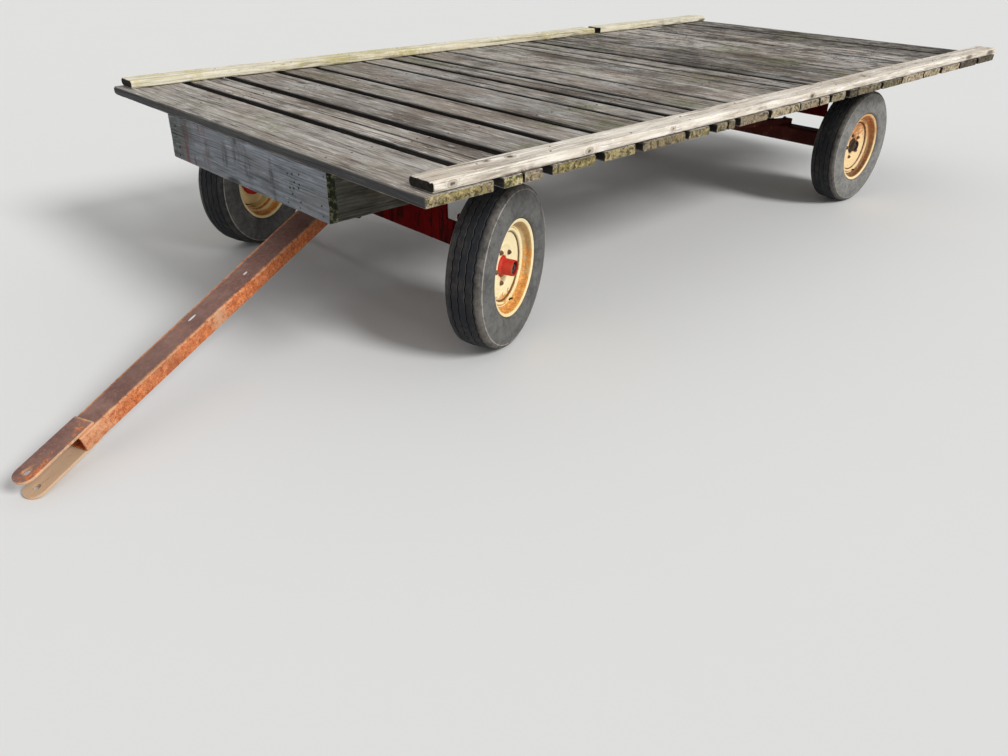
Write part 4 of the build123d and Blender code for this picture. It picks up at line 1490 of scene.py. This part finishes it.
    def build_valve(self, draft: Draft) -> None:
        """Adds the valve's stem, which leans out of the rim's slope."""
        axes = self.axes()
        place, radius = self.valve_place
        outwards = axes.across * math.cos(self.valve_turn) + axes.up * math.sin(self.valve_turn)
        along = math.cos(self.valve_lean) * axes.along - math.sin(self.valve_lean) * outwards
        sideways = np.cross(axes.along, outwards)
        root = axes.origin + place * axes.along + radius * outwards
        rows = [
            (-0.006, 0.0060), (0.003, 0.0056), (0.006, 0.0040), (0.011, 0.0038), (0.012, 0.0043),
            (0.017, 0.0040),
        ]
        stud(draft, Axes(root, along, sideways, np.cross(along, sideways)), rows, bare=1.0)

    def build_rim(self) -> None:
        """Makes the rim, its disc and the valve."""
        angle = np.linspace(0, 2 * np.pi, self.rim_steps, endpoint=False)[:, None]
        # On the rear rims this is turned half round: their tops take the rust and darkening, rust with painted
        # shade, and their bottoms the paler fade, painted light.
        lower = 0.5 - 0.5 * np.sin(angle + self.style.rust_and_shade_turn)
        draft = Draft()
        self.build_section(draft, lower)
        self.build_disc(draft, lower)
        self.build_valve(draft)
        node = f"{self.name}_rim"
        draft.piece(f"stepped_{node}", self.body, self.style.rim_paint, node)

    def build_hub(self) -> None:
        """Makes the hub: a flange behind the disc, a barrel through it, and a sunk end painted near-black as
        shade.
        """
        reach = self.style.hub_reach
        outline = rounded_path([
            (-0.078, 0.0205, 0), (-0.078, 0.044, 0.003), (-0.002, 0.044, 0.004), (-0.002, 0.086, 0.003),
            (0.0118, 0.086, 0.001), (0.0118, 0.043, 0.002), (0.022, 0.039, 0.004), (0.027, 0.0345, 0.004),
            (reach - 0.012, 0.0340, 0.003), (reach, 0.0330, 0.002), (reach, 0.0300, 0.002),
            (reach - 0.003, 0.0288, 0.002), (reach - 0.016, 0.0282, 0.001), (reach - 0.016, 0.0004, 0),
            (reach - 0.022, 0.0004, 0), (reach - 0.022, 0.0205, 0),
        ])
        place, radius = outline.T
        is_sunk = (radius < 0.0284) & (place > reach - 0.018)
        draft = Draft()
        # The sunk end's inside is painted near-black: painted shade.
        lathe(draft, self.axes(), outline, self.hub_steps, edge=0.6 * (place > reach - 0.003), bare=is_sunk)
        node = f"{self.name}_hub"
        draft.piece(f"turned_{node}", self.body, self.style.hub_paint, node)

    def build_bolts(self) -> None:
        """Makes the wheel's nuts on their studs, and the spindle's nut in the hub's end."""
        axes, reach = self.axes(), self.style.hub_reach
        draft = Draft()
        for turn in np.arange(self.stud_count) * 2 * np.pi / self.stud_count + self.stud_turn:
            spot = axes.place(0.0, self.stud_circle * math.sin(turn), self.stud_circle * math.cos(turn))
            here = replace(axes, origin=spot)
            stud(draft, here, [(0.0150, 0.0108), (0.0262, 0.0108), (0.0275, 0.0095)], hexagon=True, edge=0.5)
            stud(draft, here, [(0.0270, 0.0060), (0.0310, 0.0060), (0.0320, 0.0050)], edge=0.3)
        nut = [(reach - 0.0162, 0.0180), (reach - 0.0080, 0.0180), (reach - 0.0066, 0.0162)]
        end = [(reach - 0.0070, 0.0085), (reach - 0.0030, 0.0085), (reach - 0.0022, 0.0070)]
        # The spindle's nut and end, darkened as painted shade in the hub's sunk end.
        stud(draft, axes, nut, hexagon=True, bare=0.7)
        stud(draft, axes, end, bare=0.7)
        draft.piece(f"{self.name}_bolts", self.body, self.style.bolt_steel)

    def build(self) -> None:
        """Makes the whole wheel."""
        self.build_tyre()
        self.build_rim()
        self.build_hub()
        self.build_bolts()


# Tongue


@dataclass
class Tongue:
    """The tapered box tongue, open at its end between two clevis plates that are welded to it."""

    finish: AgedPaint
    length: float = 1.810
    root_overlap: float = 0.034
    root_width: float = 0.141
    tip_width: float = 0.088
    depth: float = 0.060
    clevis_length: float = 0.220
    plate: float = 0.010
    plate_bevel: float = 0.0015
    plate_half_width: float = 0.040
    plate_overlap: float = 0.070
    hole_radius: float = 0.013
    hole_inset: float = 0.045
    corner: float = 0.005
    wall: float = 0.006
    opening: float = 0.140
    dent: float = 0.0007
    scrape: float = 0.90
    bead: float = 0.0045
    bead_pitch: float = 0.007
    drops: tuple[Spot, ...] = ((0.655, 0.004, 0.013, 0.0055), (0.957, -0.016, 0.022, 0.0048))

    @property
    def box_end(self) -> float:
        """How far the box reaches from the pin."""
        return self.length - self.clevis_length

    @property
    def plate_start(self) -> float:
        """Where the clevis plates begin."""
        return self.box_end - self.plate_overlap

    def axes(self) -> Axes:
        """The lift pin's middle, the direction to the tip, left and up."""
        joint = joint_named("tongue_lift")
        mount = next(m for m in frame["record"]["mounts"] if m["name"] == "tow_clevis")
        up, left = np.array(mount["axis"], float), -np.array(joint["axis"], float)
        return Axes(np.array(joint["pos_m"], float), np.cross(left, up), left, up)

    def half_width(self, place: Array) -> Array:
        """Half the box's width at a distance from the pin, falling in a straight line to the tip."""
        share = np.clip(place, 0, None) / self.length
        return (self.root_width * (1 - share) + self.tip_width * share) / 2

    def build_box(self, draft: Draft) -> None:
        """Adds the box.

        It is a rounded rectangle (a, h) = (w(s) A, H) carried along s, with dents of a few tenths of a
        millimetre. At its end it turns in over the wall and runs back inside to the opening's depth.
        """
        r, h, end = self.corner, self.depth / 2, self.box_end
        flat = np.linspace(-1, 1, 9)[1:-1]
        turn = np.linspace(0, np.pi / 2, 4)
        none = np.zeros(len(flat))
        share = np.concatenate([np.full(4, -1.0), flat, np.full(4, 1.0)])
        offset = np.concatenate([r - r * np.cos(turn), none, r - r * np.cos(turn[::-1])])
        height = np.concatenate([h - r + r * np.sin(turn), none + h, h - r + r * np.sin(turn[::-1])])
        # How worn each corner is; the pale worn colour there is partly a painted highlight along the top corners.
        edge = np.concatenate([[0.15, 0.8, 1.0, 0.7], none, [0.7, 1.0, 0.8, 0.15]])
        run = np.linspace(-self.root_overlap + 0.004, end - 0.002, 90)
        s = np.concatenate([[-self.root_overlap], run, [end, end, end - self.opening]])[:, None]
        inside = np.concatenate([np.zeros(len(run) + 2), [1.0, 1.0]])[:, None]
        inset = self.wall * inside
        a = share * self.half_width(s) - np.sign(share) * offset
        top = height + self.dent * (smooth_noise(s * 9, a * 22, 77) - 1)
        ring_a = np.concatenate([a, a[:, ::-1]], 1) * (1 - inset / self.half_width(s))
        ring_h = np.concatenate([top, -height[::-1] - 0 * s], 1) * (1 - inset / h)
        close = np.clip((s + self.root_overlap) / 0.030, 0, 1)
        ring_h = ring_h * np.sqrt(np.clip(1 - (1 - close) ** 2, 0.02, 1))
        is_side = np.abs(share) > 0.99
        rust = np.concatenate([is_side, is_side[::-1]]) * (1 - inside) + 0.9 * inside
        scraped = 0.55 * hump(s, self.scrape, 0.07) + 0.42 * np.clip((s - end + 0.30) / 0.20, 0, 1)
        draft.add(
            self.axes().place(s, ring_a, ring_h).reshape(-1, 3),
            tube_quads(*ring_a.shape),
            edge=(np.concatenate([edge, 0.6 * edge[::-1]]) * (1 - inside)).ravel(),
            rust=rust.ravel(),
            pale=(rust * scraped * (1 - inside)).ravel(),
        )

    def build_plate(self, draft: Draft, level: float, lift: int) -> None:
        """Adds one clevis plate.

        Its outline is star-shaped about the hole, so a point is H + (hole(t) (1-k) + outline(t) k), with k
        from the hole's edge out over the top, down the rim, and back under the bottom.

        Args:
            draft: Where it goes.
            level: Height of the plate's lower face over the tongue's middle line.
            lift: 1 where the upper face is the outer one, or -1.
        """
        start, w = self.plate_start, self.plate_half_width
        tip, hole = self.length - w, np.array((self.length - self.hole_inset, 0.0))
        turn = np.linspace(-np.pi / 2, np.pi / 2, 25)
        arc = np.stack([tip + w * np.cos(turn), w * np.sin(turn)], -1)
        run = np.linspace(tip, start, 14)[1:]
        left = np.stack([run, np.full(len(run), w)], -1)
        back = np.stack([np.full(7, start), np.linspace(w, -w, 9)[1:-1]], -1)
        outline = np.concatenate([arc, left, back, (left * (1, -1))[::-1]])
        toward = outline - hole
        toward /= np.linalg.norm(toward, axis=1)[:, None]
        ring = hole + self.hole_radius * toward
        p, b = self.plate, self.plate_bevel
        rows = [
            (0.0, b, 0.5), (0.0, p - b, 0.8), (0.012, p, 0.5), (0.10, p, 0), (0.7, p, 0), (0.96, p, 0.05),
            (0.985, p, 0.8), (1.0, p - b, 1.0), (1.0, b, 1.0), (0.985, 0.0, 0.5), (0.5, 0.0, 0),
            (0.02, 0.0, 0.3),
        ]
        share, height, edge = (column[:, None] for column in np.array(rows).T)
        plan = ring * (1 - share[..., None]) + outline * share[..., None]
        if lift < 0:
            height = p - height
        draft.add(
            self.axes().place(plan[..., 0], plan[..., 1], level + height).reshape(-1, 3),
            ring_quads(len(rows), len(outline)),
            edge=(edge + 0 * plan[..., 0]).ravel(), rust=0.25, pale=0.85 if lift < 0 else 0.12,
        )

    def build_weld(self, draft: Draft, start: Pair, end: Pair, level: float, lift: int) -> None:
        """Adds a weld's bead along a line: a half-round rope of radius b (1 + 0.18 |sin(pi s / pitch)|).

        Args:
            draft: Where it goes.
            start: One end of the line, as place along the tongue and across it.
            end: Its other end.
            level: Height of the surface that it lies on.
            lift: 1 where the bead stands up from the surface, or -1 where it hangs from it.
        """
        length = math.dist(start, end)
        ahead = np.subtract(end, start) / length
        aside = np.array((-ahead[1], ahead[0]))
        s = np.linspace(0, length, max(8, int(length / 0.0016)))[:, None]
        turn = np.linspace(0, 2 * np.pi, 10, endpoint=False)[None, :]
        fade = np.sqrt(np.clip(1 - (2 * s / length - 1) ** 6, 0.03, 1))
        swell = 0.18 * np.abs(np.sin(np.pi * s / self.bead_pitch)) + 0.1 * smooth_noise(s * 160, s * 0, 31)
        radius = self.bead * fade * (1 + swell)
        plan = start + s[..., None] * ahead + (radius * np.cos(turn))[..., None] * aside
        body = self.axes().place(plan[..., 0], plan[..., 1], level + lift * (0.55 * radius * np.sin(turn)))
        draft.add(body.reshape(-1, 3), tube_quads(len(s), turn.size), edge=0.5, rust=0.6)

    def build_drops(self, draft: Draft) -> None:
        """Adds two dried pale drops on the top: flat domes, drawn out along the tongue."""
        axes = self.axes()
        for s, a, half_length, half_width in self.drops:
            spot = axes.place(s, a, self.depth / 2 - 0.0006)
            spread = Axes(spot, axes.up, half_length * axes.along, half_width * axes.across)
            stud(draft, spread, [(0.0, 1.0), (0.0007, 0.85), (0.0010, 0.4)], drop=1.0)

    def build(self) -> None:
        """Makes the whole tongue."""
        draft = Draft()
        self.build_box(draft)
        top, w = self.depth / 2, self.plate_half_width
        start, end = self.plate_start + 0.004, self.box_end - 0.004
        self.build_plate(draft, top, 1)
        self.build_plate(draft, -top - self.plate, -1)
        for lift in (1, -1):
            back = self.plate_start
            self.build_weld(draft, (back, -0.94 * w), (back, 0.94 * w), lift * top, lift)
            for side in (-1, 1):
                self.build_weld(draft, (start, side * w), (end, side * w), lift * top, lift)
        self.build_drops(draft)
        draft.piece("rusty_tongue", "tongue", self.finish.build(), "tongue")


# Steel of the running gear


@dataclass
class Fasteners:
    """Six-sided bolt heads, nuts and grease nipples on the running gear, one joined mesh for each body."""

    steel: Material
    front_axle: float = 1.24297
    rear_axle: float = -1.91503
    stake_side: float = 0.653
    stake_heights: Pair = (0.625, 0.668)
    foot_place: Pair = (0.3945, 0.431)
    collar_places: Pair = (0.62297, -1.01503)
    collar_top: float = 0.486
    knuckle_half_track: float = 0.757
    knuckle_top: float = 0.534
    link_back: float = 0.20398
    link_side: float = 0.08241
    link_under: float = 0.3565
    pin_reach: float = 0.0855
    big: Pair = (0.0115, 0.008)
    pin_head: Pair = (0.0200, 0.010)
    link_nut: Pair = (0.0105, 0.009)

    def bolt(self, draft: Draft, place: Triple, facing: Triple, size: Pair) -> None:
        """Adds a head on its washer, with the bolt's end standing out.

        Args:
            draft: Where it goes.
            place: Where its middle meets the surface.
            facing: Direction that it stands out in.
            size: Half the head's width across corners, and its height.
        """
        along = Vector(facing).normalized()
        side = along.orthogonal().normalized()
        axes = Axes(np.array(place), np.array(along), np.array(side), np.array(along.cross(side)))
        r, height = size
        base = 0.0020
        washer = [(-0.002, 1.35 * r), (0.0022, 1.35 * r), (0.0028, 1.25 * r)]
        head = [(base, r), (base + 0.88 * height, r), (base + height, 0.86 * r)]
        end = [(base, 0.5 * r), (base + height + 0.003, 0.5 * r), (base + height + 0.004, 0.4 * r)]
        stud(draft, axes, washer, sides=20, edge=0.3)
        stud(draft, axes, head, hexagon=True, edge=0.5)
        stud(draft, axes, end, edge=0.4)

    def build_wagon(self) -> None:
        """Makes the bolts that hold the stakes to the sills, the rear hounds' feet and the collars."""
        draft = Draft()
        for x in (self.front_axle, self.rear_axle):
            for side in (-1, 1):
                for z in self.stake_heights:
                    self.bolt(draft, (x, side * self.stake_side, z), (0, side, 0), self.big)
        y, z = self.foot_place
        for side in (-1, 1):
            self.bolt(draft, (self.rear_axle, side * y, z), (0, 0, 1), self.big)
        for x in self.collar_places:
            self.bolt(draft, (x, 0.0, self.collar_top), (0, 0, 1), self.big)
        draft.piece("gear_bolts", "wagon", self.steel)

    def build_head(self) -> None:
        """Makes the lift pin's heads and the nut under the steering head's link pin."""
        joint = joint_named("tongue_lift")
        middle, across = np.array(joint["pos_m"], float), np.array(joint["axis"], float)
        draft = Draft()
        for side in (-1, 1):
            place = middle + side * self.pin_reach * across
            self.bolt(draft, tuple(place), tuple(side * across), self.pin_head)
        link = (self.front_axle - self.link_back, -self.link_side, self.link_under)
        self.bolt(draft, link, (0, 0, -1), self.link_nut)
        draft.piece("head_bolts", "steering_head", self.steel)

    def build_knuckles(self) -> None:
        """Makes the nuts under the knuckles' link pins, and the king pins' caps with their grease nipples."""
        rows = [
            (-0.002, 0.017), (0.004, 0.017), (0.007, 0.013), (0.008, 0.004), (0.017, 0.0036), (0.019, 0.0042),
            (0.022, 0.0030),
        ]
        for name, side in (("left", 1), ("right", -1)):
            draft = Draft()
            y = side * self.knuckle_half_track
            link = (self.front_axle - self.link_back, y - self.link_side, self.link_under)
            self.bolt(draft, link, (0, 0, -1), self.link_nut)
            stud(draft, pointing_up((self.front_axle, y, self.knuckle_top)), rows, sides=20, edge=0.3)
            draft.piece(f"{name}_knuckle_bolts", f"{name}_knuckle", self.steel)

    def build(self) -> None:
        """Makes them all."""
        self.build_wagon()
        self.build_head()
        self.build_knuckles()


@dataclass
class RunningGear:
    """The CAD's own steel pieces, in old paint."""

    # red: the red pieces' paint, darkened as painted shade.
    red: AgedPaint
    dark: AgedPaint
    red_nodes: tuple[str, ...] = (
        "front_axle", "rear_bolster", "left_knuckle", "right_knuckle", "steering_head",
    )

    def build(self) -> None:
        """Puts the finishes on the nodes."""
        red, dark = self.red.build(), self.dark.build()
        for name, node in frame["nodes"].items():
            if node.hide_render:
                continue
            node.data.materials.clear()
            node.data.materials.append(red if name in self.red_nodes else dark)
            LOG.info("%s: painted", name)


# Floor, light and camera


@dataclass
class Studio:
    """A pale floor, soft light and the camera at the photograph's angle."""

    floor_colour: Colour = (0.80, 0.80, 0.79)
    floor_half: float = 60.0
    sky_light: float = 0.50
    sky_shown: Colour = (0.93, 0.93, 0.93)
    sun_strength: float = 2.3
    sun_angle: float = 18.0
    sun_from: Triple = (-0.16, 0.79, 0.59)
    camera_place: Triple = (3.4448, 3.2605, 1.6293)
    camera_yaw: float = -134.227
    camera_pitch: float = -29.056
    camera_roll: float = 0.9987
    camera_reach: float = 200.0
    focal_share: float = 845.91 / 1008
    sensor: float = 36.0

    def build_floor(self) -> None:
        """Makes the floor, a square with a slight grain in its colour."""
        half = self.floor_half
        corners = [(-half, -half, 0), (half, -half, 0), (half, half, 0), (-half, half, 0)]
        mesh = bpy.data.meshes.new("floor")
        mesh.from_pydata(corners, [], [(0, 1, 2, 3)])
        g = Graph("pale_floor")
        cloud = g.noise(g.place, 1.2, 3.0, 0.5)
        colour = g.blend(cloud, toned(self.floor_colour, 0.985), self.floor_colour)
        mesh.materials.append(g.finish(colour, 0.9))
        floor = bpy.data.objects.new("floor", mesh)
        bpy.context.scene.collection.objects.link(floor)

    def build_sky(self) -> None:
        """Makes the sky, which the camera, reflections and glass see pale."""
        world = bpy.data.worlds.new("studio")
        world.use_nodes = True
        nodes, links = world.node_tree.nodes, world.node_tree.links
        background = next(n for n in nodes if n.type == "BACKGROUND")
        shown, mix = nodes.new("ShaderNodeBackground"), nodes.new("ShaderNodeMixShader")
        background.inputs["Strength"].default_value = self.sky_light
        for node, colour in ((background, (1.0, 1.0, 1.0)), (shown, self.sky_shown)):
            node.inputs["Color"].default_value = (*colour, 1.0)
        rays = nodes.new("ShaderNodeLightPath").outputs
        seen = rays["Is Camera Ray"]
        for ray in ("Is Glossy Ray", "Is Transmission Ray"):
            either = nodes.new("ShaderNodeMath")
            either.operation = "MAXIMUM"
            links.new(seen, either.inputs[0])
            links.new(rays[ray], either.inputs[1])
            seen = either.outputs[0]
        for number, output in enumerate((seen, background.outputs[0], shown.outputs[0])):
            links.new(output, mix.inputs[number])
        surface = next(n for n in nodes if n.type == "OUTPUT_WORLD").inputs["Surface"]
        links.new(mix.outputs[0], surface)
        bpy.context.scene.world = world

    def build_sun(self) -> None:
        """Makes a wide soft sun."""
        lamp = bpy.data.lights.new("sun", "SUN")
        lamp.energy = self.sun_strength
        lamp.angle = math.radians(self.sun_angle)
        sun = bpy.data.objects.new("sun", lamp)
        sun.rotation_mode = "QUATERNION"
        sun.rotation_quaternion = Vector(self.sun_from).to_track_quat("Z", "Y")
        bpy.context.scene.collection.objects.link(sun)

    def build_camera(self) -> None:
        """Makes the camera from its place, its level direction, its pitch and its roll."""
        yaw, pitch, roll = (math.radians(a) for a in (self.camera_yaw, self.camera_pitch, self.camera_roll))
        forward = Vector((math.cos(yaw) * math.cos(pitch), math.sin(yaw) * math.cos(pitch), math.sin(pitch)))
        right = forward.cross(Vector((0, 0, 1))).normalized()
        up = right.cross(forward)
        right, up = math.cos(roll) * right + math.sin(roll) * up, math.cos(roll) * up - math.sin(roll) * right
        lens = bpy.data.cameras.new("camera")
        lens.sensor_width = self.sensor
        lens.lens = self.focal_share * self.sensor
        lens.clip_end = self.camera_reach
        camera = bpy.data.objects.new("camera", lens)
        turn = Matrix((right, up, -forward)).transposed().to_4x4()
        camera.matrix_world = Matrix.Translation(self.camera_place) @ turn
        bpy.context.scene.collection.objects.link(camera)
        bpy.context.scene.camera = camera

    def build(self) -> None:
        """Makes the stage."""
        bpy.context.scene.view_settings.view_transform = "Standard"
        self.build_camera()
        self.build_floor()
        self.build_sky()
        self.build_sun()


# The wagon's own finishes


PLANK_WOOD = WeatheredWood(
    "plank_wood", Grain.ACROSS_WAGON, pale=(0.47, 0.44, 0.400), middle=(0.265, 0.240, 0.212),
    dark=(0.050, 0.044, 0.039), brown=(0.235, 0.180, 0.135), end_colour=(0.46, 0.36, 0.15),
    end_plain=(0.310, 0.245, 0.175), moss_share=0.46, painted_side_shade=0.95, contrast=1.25, edge_share=0.30,
)
NEAR_RAIL_WOOD = WeatheredWood(
    "near_rail_wood", Grain.ALONG_WAGON, pale=(0.86, 0.80, 0.705), middle=(0.66, 0.595, 0.505),
    dark=(0.17, 0.130, 0.098), brown=(0.56, 0.475, 0.375), end_colour=(0.05, 0.04, 0.03),
    end_plain=(0.026, 0.025, 0.024), moss_share=0.10, contrast=1.2, edge_share=0.25, end_fleck=0.03,
    hair_share=0.60, line_share=0.35,
)
FAR_RAIL_WOOD = WeatheredWood(
    "far_rail_wood", Grain.ALONG_WAGON, pale=(0.92, 0.87, 0.74), middle=(0.76, 0.70, 0.56),
    dark=(0.18, 0.15, 0.10), brown=(0.76, 0.68, 0.49), end_colour=(0.05, 0.04, 0.03),
    end_plain=(0.026, 0.025, 0.024), moss=(0.50, 0.43, 0.13), moss_share=0.78, contrast=1.1,
    edge_share=0.25, end_fleck=0.03,
)
# The sills' wood is darkened nearly to black: painted shade, as under the deck.
SHADED_SILL_WOOD = WeatheredWood(
    "shaded_sill_wood", Grain.ALONG_WAGON, pale=(0.120, 0.116, 0.098), middle=(0.066, 0.065, 0.054),
    dark=(0.020, 0.019, 0.017), brown=(0.072, 0.057, 0.041), end_colour=(0.16, 0.12, 0.08),
    end_plain=(0.10, 0.08, 0.06), moss=(0.07, 0.085, 0.035), moss_share=0.5,
)
# The end boards' wood is darkened and tinted blue-grey: painted shade, as in skylit shade.
SHADED_BOARD_WOOD = WeatheredWood(
    "board_wood", Grain.ACROSS_WAGON, pale=(0.275, 0.300, 0.330), middle=(0.180, 0.196, 0.217),
    dark=(0.052, 0.054, 0.058), brown=(0.170, 0.168, 0.165), end_colour=(0.026, 0.032, 0.018),
    end_plain=(0.028, 0.032, 0.022), moss=(0.050, 0.065, 0.028), moss_share=0.2, contrast=0.85,
    furrow_depth=0.0014, painted_side_shade=0.7, line_share=0.25, damp=(0.074, 0.082, 0.066),
)
FRONT_RUBBER = DustyRubber("tyre_rubber")
# The rear tyres take a paler copy of the front tyres' rubber: painted sunlight on their walls.
SUNLIT_REAR_RUBBER = DustyRubber("sunlit_tyre_rubber", rubber=(0.135, 0.134, 0.128), bloom=(0.265, 0.260, 0.242))
# The front rims' seat shade is tan-brown.
CREAM_PAINT = AgedPaint(
    "cream_paint", (0.90, 0.71, 0.34), (0.95, 0.82, 0.50), rust=(0.75, 0.32, 0.07),
    dark_rust=(0.42, 0.17, 0.05), rust_share=0.10, dirt=(0.42, 0.255, 0.095), worn=(0.62, 0.33, 0.11),
    worn_share=0.25, grime=0.10,
)
# The rear rims' seat shade is dark brown.
TAN_PAINT = AgedPaint(
    "tan_paint", (0.76, 0.38, 0.14), (0.92, 0.68, 0.36), rust=(0.56, 0.23, 0.085),
    dark_rust=(0.30, 0.105, 0.035), rust_share=0.28, dirt=(0.155, 0.060, 0.014), worn=(0.95, 0.78, 0.48),
    worn_share=0.9, grime=0.15,
)
RED_HUB = AgedPaint("hub_red", (0.55, 0.022, 0.014), (0.60, 0.06, 0.04), rust_share=0.15, grime=0.4)
DARK_HUB = AgedPaint("hub_dark", (0.040, 0.024, 0.017), (0.075, 0.065, 0.050), rust=(0.14, 0.06, 0.03))
WHEEL_BOLTS = AgedPaint("bolt_steel", (0.10, 0.065, 0.045), (0.17, 0.11, 0.075), rust_share=0.5)
# The tongue's pale worn edge colour is partly real wear and partly a painted highlight along its corners.
TONGUE_PAINT = AgedPaint(
    "tongue_rust", (0.165, 0.080, 0.064), (0.255, 0.145, 0.115), rust=(0.62, 0.175, 0.052),
    dark_rust=(0.30, 0.066, 0.024), rust_share=0.20, worn=(0.74, 0.45, 0.26), worn_share=0.80, grime=0.25,
    grit=0.65, chalk=(0.62, 0.43, 0.27), gloss=0.6,
)
GEAR_BOLTS = AgedPaint("bolt_paint", (0.12, 0.030, 0.022), (0.18, 0.075, 0.045), rust_share=0.45)
# The red gear's paint is darkened almost to black: painted shade, as under the deck; its dark runs are real.
SHADED_RED_GEAR = AgedPaint(
    "shaded_gear_red", (0.085, 0.0015, 0.002), (0.130, 0.003, 0.003), rust_share=0.10, grime=0.70, drips=0.92,
    gloss=0.8, shine=0.04,
)
DARK_GEAR = AgedPaint(
    "gear_dark", (0.075, 0.016, 0.013), (0.12, 0.032, 0.025), rust_share=0.45, gloss=0.75, shine=0.08,
)


def main() -> None:
    """Builds the stage and the wagon's sub-assemblies."""
    logging.basicConfig(level=logging.INFO, format="%(name)s %(message)s")
    Studio().build()
    Deck(PLANK_WOOD, NEAR_RAIL_WOOD, FAR_RAIL_WOOD, NailRust("nail_rust")).build()
    # The holes are near-black: painted shade inside them.
    SillFrame(SHADED_SILL_WOOD, SHADED_BOARD_WOOD, NailRust("shaded_nail_holes", (0.016, 0.013, 0.011))).build()
    bolts = WHEEL_BOLTS.build()
    front = WheelStyle(
        FRONT_RUBBER.build(), CREAM_PAINT.build(), RED_HUB.build(), bolts, "cream_rim", "red_hub", 0.075
    )
    # The rear rims turned half round: darker, rustier tops and paler bottoms, rust with painted shade above and
    # painted light below.
    rear = WheelStyle(
        SUNLIT_REAR_RUBBER.build(), TAN_PAINT.build(), DARK_HUB.build(), bolts, "tan_rim", "dark_hub", 0.046,
        rust_and_shade_turn=math.pi, disc_rust=0.15,
    )
    for end, style in (("front", front), ("rear", rear)):
        for side in ("left", "right"):
            Wheel(end, side, style).build()
    Tongue(TONGUE_PAINT).build()
    Fasteners(GEAR_BOLTS.build()).build()
    RunningGear(SHADED_RED_GEAR, DARK_GEAR).build()


if __name__ == "__main__":
    main()
